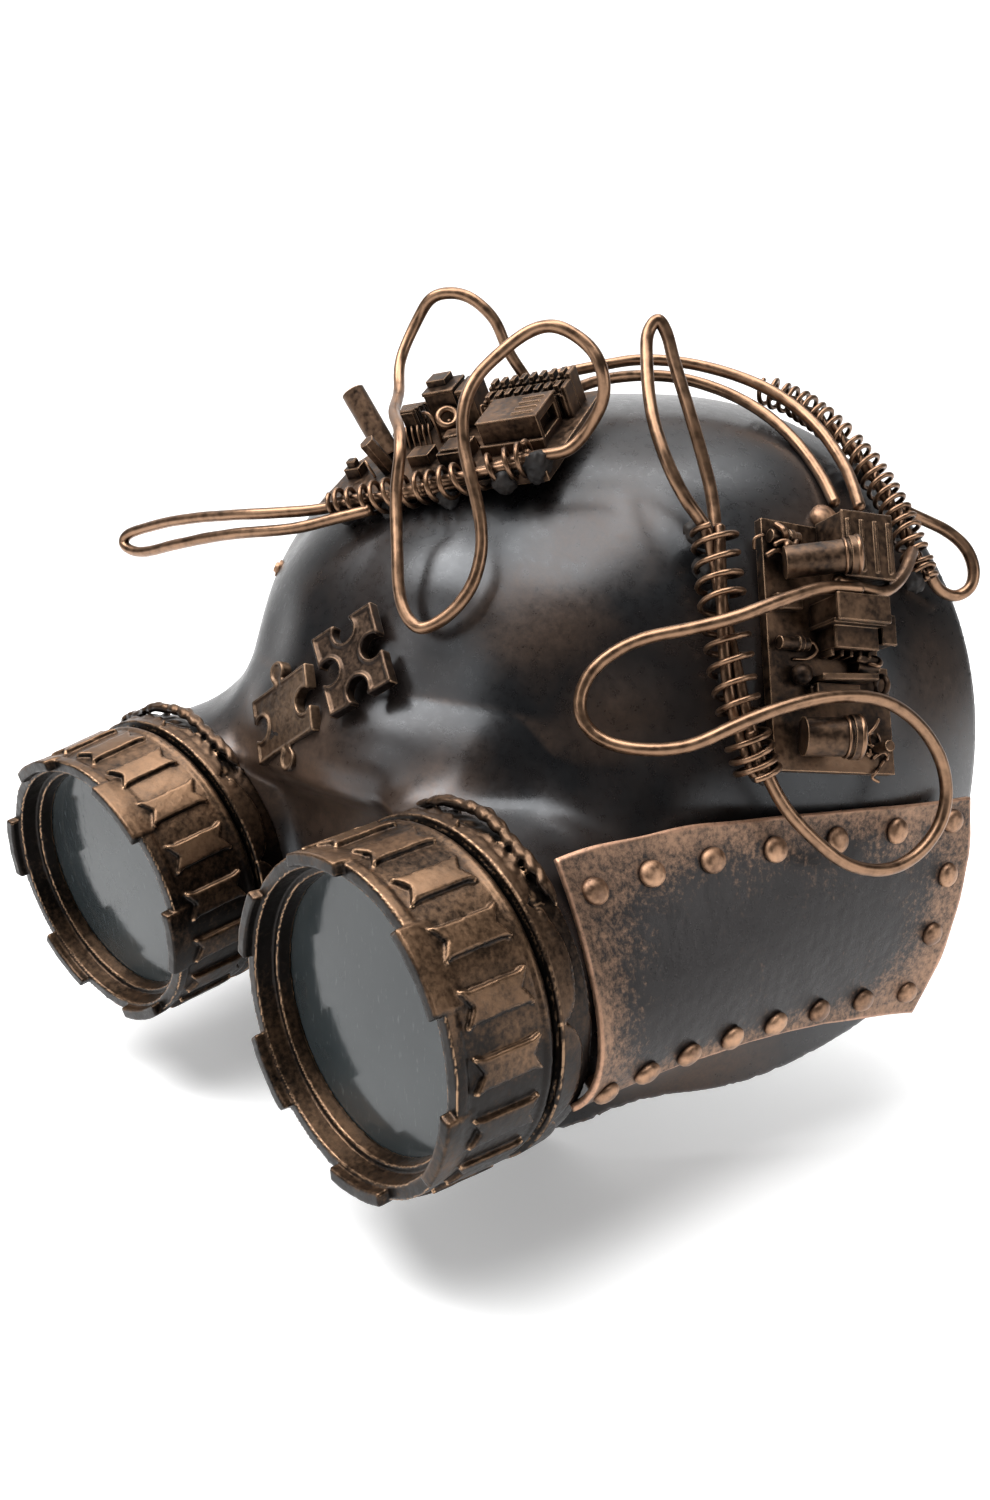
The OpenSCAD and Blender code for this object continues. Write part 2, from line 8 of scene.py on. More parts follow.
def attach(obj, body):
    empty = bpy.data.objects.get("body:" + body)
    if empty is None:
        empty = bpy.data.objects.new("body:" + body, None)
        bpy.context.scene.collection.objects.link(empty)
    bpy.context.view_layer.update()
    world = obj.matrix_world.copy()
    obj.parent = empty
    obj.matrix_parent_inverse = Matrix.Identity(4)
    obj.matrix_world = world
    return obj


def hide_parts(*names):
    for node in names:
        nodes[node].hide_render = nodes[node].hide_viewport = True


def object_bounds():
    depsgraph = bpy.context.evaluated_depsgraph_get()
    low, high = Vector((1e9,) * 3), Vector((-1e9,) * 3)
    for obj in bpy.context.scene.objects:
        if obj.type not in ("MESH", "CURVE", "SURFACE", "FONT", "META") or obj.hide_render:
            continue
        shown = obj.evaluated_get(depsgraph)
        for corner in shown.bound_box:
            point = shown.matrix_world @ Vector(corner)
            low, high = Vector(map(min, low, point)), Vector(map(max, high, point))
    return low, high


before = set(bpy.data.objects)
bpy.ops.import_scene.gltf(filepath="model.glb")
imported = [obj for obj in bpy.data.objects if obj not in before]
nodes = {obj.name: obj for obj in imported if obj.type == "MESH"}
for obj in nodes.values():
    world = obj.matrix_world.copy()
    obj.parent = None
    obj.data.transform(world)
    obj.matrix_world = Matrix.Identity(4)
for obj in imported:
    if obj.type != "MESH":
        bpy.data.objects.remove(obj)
cad_lo, cad_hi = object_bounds()
scene = bpy.context.scene


# ---------------------------------------------------------------- materials
class Shader:
    """One material and short calls that add and join its nodes."""

    def __init__(self, name):
        self.mat = bpy.data.materials.new(name)
        self.mat.use_nodes = True
        self.tree = self.mat.node_tree
        self.bsdf = self.tree.nodes["Principled BSDF"]
        self.where = self.add("ShaderNodeTexCoord").outputs["Object"]

    def add(self, kind, **props):
        node = self.tree.nodes.new(kind)
        for key, value in props.items():
            setattr(node, key, value)
        return node

    def put(self, socket, value):
        if hasattr(value, "is_output"):
            self.tree.links.new(value, socket)
        else:
            socket.default_value = value

    def set(self, socket_name, value):
        self.put(self.bsdf.inputs[socket_name], value)

    def math(self, operation, a, b):
        node = self.add("ShaderNodeMath", operation=operation)
        self.put(node.inputs[0], a)
        self.put(node.inputs[1], b)
        return node.outputs[0]

    def plus(self, a, b):
        return self.math("ADD", a, b)

    def minus(self, a, b):
        return self.math("SUBTRACT", a, b)

    def times(self, a, b):
        return self.math("MULTIPLY", a, b)

    def ramp(self, value, low, high, to_low=0.0, to_high=1.0):
        node = self.add("ShaderNodeMapRange", interpolation_type="SMOOTHSTEP")
        for socket, v in zip(node.inputs[:5], (value, low, high, to_low, to_high)):
            self.put(socket, v)
        return node.outputs[0]

    def noise(self, scale, detail=3.0, rough=0.55, where=None):
        node = self.add("ShaderNodeTexNoise")
        self.put(node.inputs["Vector"], where or self.where)
        self.put(node.inputs["Scale"], scale)
        self.put(node.inputs["Detail"], detail)
        self.put(node.inputs["Roughness"], rough)
        return node.outputs["Fac"]

    def kept(self, name):
        """A number that the mesh keeps for each of its points."""
        return self.add("ShaderNodeAttribute", attribute_name=name).outputs["Fac"]

    def stretched(self, x, y, z):
        node = self.add("ShaderNodeMapping")
        self.put(node.inputs["Vector"], self.where)
        node.inputs["Scale"].default_value = (x, y, z)
        return node.outputs["Vector"]

    def mix(self, factor, a, b):
        node = self.add("ShaderNodeMix", data_type="RGBA")
        for socket, v in zip((node.inputs[0], node.inputs[6], node.inputs[7]), (factor, a, b)):
            self.put(socket, v if hasattr(v, "is_output") else (*v, 1.0))
        return node.outputs[2]

    def spot(self, centre, radius, soft=0.9, wobble=0.02):
        """A soft round mask about a point of the object, its edge broken by noise."""
        away = self.add("ShaderNodeVectorMath", operation="DISTANCE")
        self.put(away.inputs[0], self.where)
        away.inputs[1].default_value = centre
        ragged = self.times(self.minus(self.noise(70, 4), 0.5), wobble)
        return self.ramp(self.plus(away.outputs["Value"], ragged), radius * (1 - soft), radius, 1.0, 0.0)

    def edges(self, radius):
        """The rounded normal at edges, and a mask that is 1 on them."""
        bevel = self.add("ShaderNodeBevel", samples=4)
        bevel.inputs["Radius"].default_value = radius
        geo = self.add("ShaderNodeNewGeometry")
        dot = self.add("ShaderNodeVectorMath", operation="DOT_PRODUCT")
        self.put(dot.inputs[0], bevel.outputs[0])
        self.put(dot.inputs[1], geo.outputs["Normal"])
        off = self.minus(1.0, dot.outputs["Value"])
        return bevel.outputs[0], self.ramp(off, 0.03, 0.3)

    def hollows(self, distance):
        """1 in the open and towards 0 in corners and gaps."""
        node = self.add("ShaderNodeAmbientOcclusion", samples=4)
        node.inputs["Distance"].default_value = distance
        return node.outputs["AO"]

    def bump(self, height, strength, distance, normal=None):
        node = self.add("ShaderNodeBump")
        self.put(node.inputs["Height"], height)
        node.inputs["Strength"].default_value = strength
        node.inputs["Distance"].default_value = distance
        if normal is not None:
            self.put(node.inputs["Normal"], normal)
        self.set("Normal", node.outputs[0])


def antique(name, dark, mid, bright, gap=0.003, rough=0.42, metal=0.85):
    """Brown wash left in the recesses of a rubbed copper finish."""
    s = Shader(name)
    normal, rim = s.edges(0.0004)
    air = s.hollows(gap)
    broad = s.noise(90.0, 4)
    fine = s.noise(900.0, 3)
    wear = s.plus(s.times(broad, 0.8), s.times(fine, 0.45))
    wear = s.times(s.ramp(wear, 0.42, 0.85), s.ramp(air, 0.35, 0.95))
    base = s.mix(wear, dark, mid)
    patchy = s.ramp(s.times(air, s.ramp(broad, 0.2, 0.6, 0.6, 1.0)), 0.3, 0.8)
    s.set("Base Color", s.mix(s.times(rim, patchy), base, bright))
    s.set("Metallic", metal)
    s.set("Roughness", s.ramp(fine, 0.3, 0.7, rough - 0.08, rough + 0.14))
    s.bump(s.plus(fine, s.times(broad, 2.0)), 0.35, 0.00012, normal)
    return s.mat


copper_part = antique("copper_part", (0.009, 0.006, 0.005), (0.17, 0.10, 0.06), (0.66, 0.42, 0.26))
copper_rivet = antique("copper_rivet", (0.11, 0.062, 0.04), (0.52, 0.31, 0.19), (0.66, 0.42, 0.27), 0.0012)
GLUE_DARK, GLUE_MID, GLUE_RIM = (0.006, 0.005, 0.005), (0.022, 0.015, 0.011), (0.16, 0.10, 0.065)
dark_glue = antique("dark_glue", GLUE_DARK, GLUE_MID, GLUE_RIM, rough=0.62, metal=0.2)


def cast_finish(name, dark, mid, bright, rough, cover=0.0):
    """Antique copper for moulded pieces: rubbed bright on raised faces, black in recesses, and painted light
    that makes the upper faces brighter.
    """
    s = Shader(name)
    air = s.hollows(0.0035)
    broad = s.noise(75.0, 4, 0.6)
    fine = s.noise(1100.0, 4, 0.65)
    rub = s.plus(s.times(broad, 0.7), s.times(fine, 0.55))
    rub = s.plus(rub, s.times(s.kept("raised"), 0.14))
    # painted light: faces that look up get more bright copper, as if lit from above
    rub = s.plus(rub, s.times(s.ramp(s.kept("painted_top_light"), 0.3, 0.95), 0.36))
    rub = s.ramp(s.plus(rub, cover), 0.70, 1.24)
    rub = s.times(rub, s.ramp(air, 0.4, 0.95))
    base = s.mix(rub, dark, mid)
    rim = s.times(s.ramp(s.kept("wear"), 0.18, 0.6), s.ramp(air, 0.25, 0.7))
    rim = s.times(rim, s.ramp(fine, 0.2, 0.6, 0.55, 1.0))
    s.set("Base Color", s.mix(rim, base, bright))
    s.set("Metallic", 0.85)
    s.set("Roughness", s.ramp(fine, 0.3, 0.7, rough - 0.07, rough + 0.12))
    s.bump(s.plus(fine, s.times(broad, 1.5)), 0.3, 0.00012)
    return s.mat


CUP_BLACK, CUP_RIM = (0.011, 0.009, 0.008), (0.42, 0.26, 0.155)
copper_cast = cast_finish("copper_cast", CUP_BLACK, (0.20, 0.116, 0.066), CUP_RIM, 0.35)
copper_cup = cast_finish("copper_cup", CUP_BLACK, (0.12, 0.070, 0.041), CUP_RIM, 0.35)
JIGSAW_LIGHT = (0.040, 0.025, 0.017), (0.25, 0.158, 0.098), (0.55, 0.36, 0.225)
JIGSAW_DARK = (0.020, 0.013, 0.010), (0.15, 0.092, 0.058), (0.50, 0.32, 0.200)
jigsaw_cast = cast_finish("jigsaw_cast", *JIGSAW_LIGHT, 0.38, 0.12)
jigsaw_dark = cast_finish("jigsaw_dark", *JIGSAW_DARK, 0.38, 0.04)


def plate_finish():
    """Beaten copper: speckled and worn round the border, smooth and near black in the dished middle."""
    s = Shader("beaten_plate")
    air = s.hollows(0.0025)
    broad = s.noise(55.0, 5, 0.65)
    speck = s.noise(900.0, 5, 0.75)
    bare = s.minus(s.plus(s.times(broad, 1.3), -0.04), s.times(s.kept("middle"), 0.68))
    bare = s.ramp(s.plus(bare, s.times(s.minus(speck, 0.5), 1.8)), 0.12, 1.0)
    bare = s.times(bare, s.ramp(air, 0.35, 0.95, 0.15, 1.0))
    base = s.mix(bare, (0.026, 0.024, 0.024), (0.31, 0.188, 0.122))
    rim = s.times(s.ramp(s.kept("wear"), 0.25, 0.8), s.ramp(speck, 0.25, 0.6, 0.4, 1.0))
    s.set("Base Color", s.mix(rim, base, (0.55, 0.32, 0.21)))
    s.set("Metallic", 0.8)
    s.set("Roughness", s.plus(s.ramp(s.kept("middle"), 0.0, 1.0, 0.42, 0.22), s.times(speck, 0.12)))
    s.bump(s.plus(speck, s.times(s.noise(200.0, 3), 1.2)), 0.4, 0.00018)
    return s.mat


beaten_plate = plate_finish()


def wire_finish():
    """Drawn copper, bright in scattered patches and brown where it lies close to something."""
    s = Shader("copper_wire")
    streak = s.noise(500.0, 3)
    broad = s.noise(110.0, 4)
    air = s.hollows(0.003)
    bright = s.ramp(s.plus(streak, s.times(broad, 0.6)), 0.4, 1.0, 0.35)
    bright = s.times(bright, s.ramp(air, 0.25, 0.9, 0.12))
    s.set("Base Color", s.mix(bright, (0.026, 0.015, 0.011), (0.28, 0.165, 0.100)))
    s.set("Metallic", 0.95)
    s.set("Roughness", s.ramp(streak, 0.3, 0.7, 0.28, 0.40))
    s.bump(streak, 0.2, 0.0001)
    return s.mat


copper_wire = wire_finish()


def shell_finish():
    """Satin black with a fine grain, and soft patches where copper was rubbed over the high places."""
    s = Shader("shell_rubbed_black")
    broad = s.noise(26.0, 4, 0.6)
    fine = s.noise(480.0, 5, 0.7)
    grain = s.noise(1500.0, 3, 0.6)
    base = s.mix(s.ramp(broad, 0.4, 0.7), (0.0045, 0.0045, 0.005), (0.015, 0.010, 0.008))
    rub = s.times(s.ramp(s.kept("wear"), 0.4, 0.9), 0.6)
    for centre, radius, amount in (
        ((0.0395, -0.062, 0.0755), 0.019, 0.22),
        ((0.0385, -0.075, 0.060), 0.017, 0.26),
        ((0.030, -0.092, 0.026), 0.016, 0.40),
        ((0.004, -0.098, 0.022), 0.024, 0.50),
        ((-0.024, -0.096, 0.024), 0.018, 0.55),
        ((0.070, -0.030, 0.075), 0.020, 0.14),
        ((0.088, -0.012, 0.045), 0.022, 0.24),
        ((0.066, -0.060, -0.026), 0.026, 0.5),
        ((0.000, -0.098, -0.010), 0.020, 0.5),
    ):
        rub = s.math("MAXIMUM", rub, s.times(s.spot(centre, radius), amount))
    rub = s.times(rub, s.ramp(s.plus(fine, s.times(grain, 0.6)), 0.45, 1.15, 0.35, 1.0))
    s.set("Base Color", s.mix(rub, base, (0.20, 0.125, 0.085)))
    s.set("Metallic", s.times(rub, 0.9))
    s.set("Roughness", s.plus(s.ramp(fine, 0.3, 0.7, 0.26, 0.33), s.times(rub, 0.08)))
    s.set("Specular Tint", (0.93, 0.96, 1.0, 1.0))
    s.bump(s.plus(grain, s.times(fine, 1.5)), 0.06, 0.00015)
    return s.mat


shell_black = shell_finish()


def lens_finish():
    """Smoke grey, a little cloudy, with fine scratches that run one way."""
    s = Shader("lens_smoke")
    cloud = s.noise(30.0, 4)
    scratch = s.noise(1.0, 4, 0.7, where=s.stretched(1200.0, 60.0, 300.0))
    base = s.mix(s.ramp(cloud, 0.3, 0.7), (0.020, 0.025, 0.027), (0.034, 0.041, 0.043))
    line = s.times(s.ramp(scratch, 0.58, 0.72), 0.5)
    s.set("Base Color", s.mix(line, base, (0.090, 0.100, 0.102)))
    s.set("Roughness", s.ramp(scratch, 0.45, 0.75, 0.10, 0.26))
    s.set("Specular IOR Level", 0.34)
    s.bump(scratch, 0.05, 0.00005)
    return s.mat


lens_smoke = lens_finish()


def rubber_finish():
    """Dull black rubber."""
    s = Shader("gasket_rubber")
    grain = s.noise(700.0, 3)
    s.set("Base Color", s.mix(grain, (0.008, 0.008, 0.008), (0.02, 0.02, 0.02)))
    s.set("Roughness", s.ramp(grain, 0.3, 0.7, 0.6, 0.8))
    s.bump(grain, 0.3, 0.0001)
    return s.mat


gasket_rubber = rubber_finish()

FINISHES = (
    ("shell", shell_black),
    ("cheek_plate", beaten_plate),
    ("plate_rivets", copper_rivet),
    ("brow_stud", copper_rivet),
    ("goggle_cup", copper_cup),
    ("lens_ring", copper_cast),
    ("lens_gasket", gasket_rubber),
    ("lens", lens_smoke),
    ("puzzle", jigsaw_cast),
    ("wire", copper_wire),
)


def finish_of(node_name):
    for start, finish in FINISHES:
        if node_name.startswith(start):
            return finish
    return copper_wire if node_name.endswith("spring") else copper_part


for node_name, node in nodes.items():
    node.data.materials.clear()
    node.data.materials.append(finish_of(node_name))

# ---------------------------------------------------------------- geometry helpers (millimetres)
MM = 0.001
SIDES = ((1, "left"), (-1, "right"))


def unit(v):
    v = np.array(v, float)
    return v / np.linalg.norm(v)


def seat(at, out, row):
    """A place on the object: its origin, and its x, y and z axes as rows."""
    z = unit(out)
    x = unit(np.array(row, float) - np.dot(row, z) * z)
    return np.array(at, float), np.array([x, np.cross(z, x), z])


def to_world(place, points):
    """Points in the axes of a seat, turned into the frame of the object."""
    return np.asarray(points, float) @ place[1] + place[0]


def goggle_seat(side):
    """The frame of one goggle: the middle of its front face, z looking out."""
    lean = math.radians(7.3 if side < 0 else 0.0)
    toe = math.radians(-side * 4.3)
    turn = Matrix.Rotation(math.radians(90) + lean, 3, "X") @ Matrix.Rotation(toe, 3, "Y")
    return np.array([side * 40.0, -124.0, 0.0]), np.array(turn.transposed())


def make_object(name, points, faces, material, slot, stands_for=None, body="mask", smooth=True, wear=None):
    """One piece of the visual model. stands_for is the CAD node that it replaces."""
    mesh = bpy.data.meshes.new(name)
    mesh.from_pydata((np.asarray(points) * MM).tolist(), [], [list(map(int, f)) for f in faces])
    mesh.validate()
    mesh.materials.append(material)
    mesh.polygons.foreach_set("use_smooth", [smooth] * len(mesh.polygons))
    obj = bpy.data.objects.new(name, mesh)
    if wear is not None:
        set_value(obj, "wear", wear)
        # how far each point faces up, which cast_finish uses to paint light on upper faces
        normals = np.empty(len(mesh.vertices) * 3, np.float32)
        mesh.vertex_normals.foreach_get("vector", normals)
        set_value(obj, "painted_top_light", 0.5 + 0.5 * normals[2::3])
    scene.collection.objects.link(obj)
    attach(obj, body)
    if stands_for:
        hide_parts(stands_for)
    return obj


def set_value(obj, name, values):
    """Keeps one number per point on the mesh for its material."""
    obj.data.attributes.new(name, "FLOAT", "POINT").data.foreach_set("value", np.asarray(values, np.float32))


def surface_net(field, low, high, step):
    """Points and quads of the surface where field is 0: one point per crossed cell, then pulled on to it."""
    low, high = np.array(low, float), np.array(high, float)
    counts = np.ceil((high - low) / step).astype(int) + 1
    axes = [low[i] + step * np.arange(counts[i]) for i in range(3)]
    values = np.empty(counts, np.float32)
    y, z = np.meshgrid(axes[1], axes[2], indexing="ij")
    for i, x in enumerate(axes[0]):
        values[i] = field(np.full_like(y, x), y, z)
    inside = values < 0
    cells = counts - 1
    total = np.zeros((int(np.prod(cells)), 3))
    number = np.zeros(len(total))
    quads = []
    for axis in range(3):
        lower = tuple(slice(0, -1) if a == axis else slice(None) for a in range(3))
        upper = tuple(slice(1, None) if a == axis else slice(None) for a in range(3))
        at = np.array(np.nonzero(inside[lower] != inside[upper])).T
        va = values[lower][tuple(at.T)]
        vb = values[upper][tuple(at.T)]
        crossing = at.astype(float)
        crossing[:, axis] += va / (va - vb)
        one, two = (axis + 1) % 3, (axis + 2) % 3
        ring, fits = [], np.ones(len(at), bool)
        for a, b in ((-1, -1), (0, -1), (0, 0), (-1, 0)):
            cell = at.copy()
            cell[:, one] += a
            cell[:, two] += b
            ok = np.all((cell >= 0) & (cell < cells), axis=1)
            flat = (cell[:, 0] * cells[1] + cell[:, 1]) * cells[2] + cell[:, 2]
            np.add.at(total, flat[ok], crossing[ok])
            np.add.at(number, flat[ok], 1)
            ring.append(flat)
            fits &= ok
        ring = np.array(ring).T
        turned = (va > 0)[:, None]
        quads.append(np.where(turned, ring[:, ::-1], ring)[fits])
    quads = np.concatenate(quads)
    used = np.nonzero(number)[0]
    index = np.full(len(total), -1)
    index[used] = np.arange(len(used))
    points = low + step * total[used] / number[used][:, None]
    for _ in range(3):
        value, slope = sampled(field, points)
        move = value[:, None] * slope / np.maximum((slope**2).sum(1), 0.05)[:, None]
        reach = np.linalg.norm(move, axis=1)
        points -= move * np.minimum(1, 0.5 * step / np.maximum(reach, 1e-9))[:, None]
    return points, index[quads]


def sampled(field, points, gap=0.04):
    """The field and its slope at points."""
    slope = np.empty_like(points)
    for axis in range(3):
        off = np.zeros(3)
        off[axis] = gap
        slope[:, axis] = (field(*(points + off).T) - field(*(points - off).T)) / (2 * gap)
    return field(*points.T), slope


def worn(field, points, depth):
    """How sharply the surface turns outwards at each point: 0 on the flat, towards 1 on an edge."""
    _, slope = sampled(field, points)
    size = np.linalg.norm(slope, axis=1)
    out = slope / np.maximum(size, 1e-6)[:, None]
    inner = field(*(points - depth * out).T) / np.maximum(size, 0.3)
    return np.clip((inner + depth) / depth, 0, 1)


def sculpt(name, field, box, step, depth, material, slot, stands_for=None, body="mask", place=None):
    """A piece from the surface of a field, and its points in the axes of the field."""
    local, faces = surface_net(field, *box, step)
    points = local if place is None else to_world(place, local)
    wear = worn(field, local, depth)
    return make_object(name, points, faces, material, slot, stands_for, body, wear=wear), local


def smooth_max(a, b, k):
    """The larger of two, blended over a width of k."""
    return np.maximum(a, b) + np.maximum(k - np.abs(a - b), 0) ** 2 / (4 * k)


def smooth_min(a, b, k):
    return -smooth_max(-a, -b, k)


def ease(t):
    """0 to 1, slow at both ends."""
    t = np.clip(t, 0, 1)
    return t * t * (3 - 2 * t)


def lumps(x, y, z, size, seed, count=7):
    """Smooth random unevenness about 0, with bumps of about this size."""
    rng = np.random.default_rng(seed)
    total = 0
    for _ in range(count):
        k = rng.normal(size=3)
        k *= rng.uniform(0.7, 1.5) * 2 * math.pi / size / np.linalg.norm(k)
        total = total + np.sin(k[0] * x + k[1] * y + k[2] * z + rng.uniform(0, 6.28))
    return total / count


def polygon_distance(px, py, corners):
    """Signed distance to a closed outline, negative inside."""
    best = np.full(np.shape(px), 1e9)
    inside = np.zeros(np.shape(px), bool)
    for (ax, ay), (bx, by) in zip(corners, corners[1:] + corners[:1]):
        ex, ey = bx - ax, by - ay
        wx, wy = px - ax, py - ay
        t = np.clip((wx * ex + wy * ey) / (ex * ex + ey * ey), 0, 1)
        best = np.minimum(best, (wx - ex * t) ** 2 + (wy - ey * t) ** 2)
        if ay != by:
            inside ^= ((ay > py) != (by > py)) & (px < ex * (py - ay) / ey + ax)
    return np.where(inside, -1, 1) * np.sqrt(best)


def curve_through(route, pieces):
    """Catmull-Rom points through a route."""
    p = np.array(route, float)
    n = len(p)
    out = []
    for i in range(n - 1):
        a, b, c, d = p[max(i - 1, 0)], p[i], p[i + 1], p[min(i + 2, n - 1)]
        for j in range(pieces):
            t = j / pieces
            curve = (2 * a - 5 * b + 4 * c - d) * t * t + (3 * b - a - 3 * c + d) * t**3
            out.append(0.5 * (2 * b + (c - a) * t + curve))
    out.append(p[-1])
    return np.array(out)


def frames_along(points, start=(0, 0.3, 1)):
    """The tangent and two cross directions at each point, carried along without twist."""
    tangent = np.gradient(points, axis=0)
    tangent /= np.linalg.norm(tangent, axis=1)[:, None]
    side = np.empty_like(points)
    s = np.array(start, float)
    for i, t in enumerate(tangent):
        s = unit(s - np.dot(s, t) * t)
        side[i] = s
    return tangent, side, np.cross(tangent, side)


def ring_faces(rows, sides, closed=False):
    """Quads over rows of points in rings. The end rings are capped, unless the rows close on themselves."""
    j, i = np.meshgrid(np.arange(rows if closed else rows - 1), np.arange(sides), indexing="ij")
    k, after = (i + 1) % sides, (j + 1) % rows
    quads = np.stack([j * sides + i, j * sides + k, after * sides + k, after * sides + i], -1).reshape(-1, 4)
    caps = [] if closed else [range(sides)[::-1], range((rows - 1) * sides, rows * sides)]
    return quads.tolist() + caps


def tube_mesh(points, radius, sides):
    """A round tube along points, its ends rounded off. radius may be one number or one per point."""
    tangent, side, up = frames_along(points)
    radius = np.full(len(points), radius) if np.isscalar(radius) else np.array(radius)
    cap = [(0.0, 0.5), (0.35, 0.85)]
    start = [(points[0] - tangent[0] * radius[0] * (0.6 - a), radius[0] * b, 0) for a, b in cap]
    end = [(points[-1] + tangent[-1] * radius[-1] * (0.6 - a), radius[-1] * b, -1) for a, b in cap[::-1]]
    rows = start + [(points[i], radius[i], i) for i in range(len(points))] + end
    angle = 2 * math.pi * np.arange(sides) / sides
    verts = [c + r * (np.cos(angle)[:, None] * side[i] + np.sin(angle)[:, None] * up[i]) for c, r, i in rows]
    return np.concatenate(verts), ring_faces(len(rows), sides)


def joined(meshes):
    verts, faces, n = [], [], 0
    for v, f in meshes:
        verts.append(np.asarray(v, float))
        faces += [[int(k) + n for k in face] for face in f]
        n += len(v)
    return np.concatenate(verts), faces


# ---------------------------------------------------------------- shell
GOGGLE = {side: goggle_seat(side) for side, _ in SIDES}
WALL = 2.5
DOME_HALF_WIDTH, DOME_DEPTH, DOME_SCALE = 84.84, 95.4, 85.0
DOME_LEVEL, DOME_RISE, DOME_DROP = 22.7, 78.3, 130.0
PLAN_POWER, RISE_POWER, FRONT_FLAT = 1.85, 2.19, 6.0
SOCKET_R, SOCKET_FRONT, SOCKET_BACK = 28.4, 24.0, 74.0
BORE_R, BORE_DEEP = 25.1, 6.0
BROW_CREST, BROW_FOOT, BROW_OUT, BROW_UNDERCUT = 45.5, 27.0, 4.6, 2.3
ARCH_HALF, ARCH_RISE, ARCH_LEVEL = 19.0, 28.5, -46.0
LOW_EDGE = (  # y and z along the lower rim
    (-130, -36), (-92, -38), (-77, -46), (-71, -44), (-63, -35), (-46, -32), (-24, -24), (-8, -18), (6, -17),
)
SWELLS = (  # soft dents and bumps on both sides: x, y, z, size and height
    (55, -74, 44, 13, -3.2), (46, -80, 31, 9, 1.6), (63, -70, 31, 9, 1.4), (20, -80, 66, 15, 0.9),
    (44, -52, 80, 14, 0.9), (36, -66, 72, 9, -0.8), (26, -88, 52, 10, -1.3), (76, -38, 38, 14, -0.8),
)


def in_goggle(side, x, y, z):
    """Coordinates in a goggle's frame: across, up, and the distance behind its front face."""
    at, axes = GOGGLE[side]
    dx, dy, dz = x - at[0], y - at[1], z - at[2]
    u, v, w = (dx * a[0] + dy * a[1] + dz * a[2] for a in axes)
    return u, v, -w


def dome_distance(x, y, z, inset):
    """Nearly the distance to the plain head shape, a rounded dome with a flattened front."""
    across = np.sqrt(x * x + FRONT_FLAT**2) - FRONT_FLAT
    height = np.where(z > DOME_LEVEL, DOME_RISE, DOME_DROP) - inset
    plan = (across / (DOME_HALF_WIDTH - inset)) ** PLAN_POWER
    plan = plan + (np.abs(y) / (DOME_DEPTH - inset)) ** PLAN_POWER
    rise = (np.abs(z - DOME_LEVEL) / height) ** RISE_POWER
    return ((plan ** (RISE_POWER / PLAN_POWER) + rise) ** (1 / RISE_POWER) - 1) * DOME_SCALE


def socket_distance(x, y, z, inset, front):
    """The distance to the nearer of the two tubes that carry the goggles."""
    best = 1e9
    for side, _ in SIDES:
        u, v, d = in_goggle(side, x, y, z)
        tube = smooth_max(np.hypot(u, v) - SOCKET_R + inset, front - d, 1.0)
        best = np.minimum(best, np.maximum(tube, d - SOCKET_BACK))
    return best


def brow_relief(x, y, z):
    """How far the moulding stands out beyond the plain dome: the shelf of the brow and the swells."""
    ax = np.abs(x)
    crease = BROW_CREST - 0.006 * (ax - 24) ** 2
    t = (crease - z) / (crease - BROW_FOOT)
    ramp = 0.5 * (t + np.sqrt(t * t + 0.0015))
    outer = ease((ax - 18) / 12)
    rise = (1 - outer) * smooth_min(1.9 * ramp, 1.0, 0.5) + outer * 1.45 * np.minimum(ramp, 1.0)
    shelf = BROW_OUT * rise * (1 - ease((t - 0.96) / 0.36))
    shelf = shelf - BROW_UNDERCUT * ease((t - 1.0) / 0.5) * (1 - ease((t - 2.2) / 1.0))
    across = ease((47 - ax) / 13) * (0.75 + 0.25 * ease((x + 12) / 24))
    total = shelf * across * ease((-y - 62) / 16)
    for cx, cy, cz, size, height in SWELLS:
        total = total + height * np.exp(-((ax - cx) ** 2 + (y - cy) ** 2 + (z - cz) ** 2) / (size * size))
    return total + 0.25 * lumps(x, y, z, 42.0, 3)


low_edge = curve_through([(y, z, 0) for y, z in LOW_EDGE], 6)


def shell_field(x, y, z):
    """The moulding: dome and sockets, hollowed out, bored for the goggles and cut off below and behind."""
    relief = brow_relief(x, y, z)
    outer = dome_distance(x, y, z, 0.0) - relief
    outer = smooth_min(outer, socket_distance(x, y, z, 0.0, SOCKET_FRONT), 9.0)
    inner = dome_distance(x, y, z, WALL) - np.minimum(relief, 0)
    inner = np.minimum(inner, socket_distance(x, y, z, WALL, SOCKET_FRONT + WALL))
    body = smooth_max(outer, -inner, 0.8)
    for side, _ in SIDES:
        u, v, d = in_goggle(side, x, y, z)
        body = np.maximum(body, -np.maximum(np.hypot(u, v) - BORE_R, np.abs(d - SOCKET_FRONT) - BORE_DEEP))
    low = np.interp(y, low_edge[:, 0], low_edge[:, 1])
    body = smooth_max(body, (low - z) * 0.85, 0.9)
    arch = (1 - np.sqrt((x / ARCH_HALF) ** 2 + ((z - ARCH_LEVEL) / ARCH_RISE) ** 2)) * ARCH_HALF
    body = smooth_max(body, arch, 0.9)
    return smooth_max(body, y, 0.9)


SHELL_BOX = (-94, -106, -50), (94, 2, 104)
SHELL_STEP = 1.15
sculpt("shell_moulding", shell_field, SHELL_BOX, SHELL_STEP, 1.5, shell_black, "shell_black", "shell")

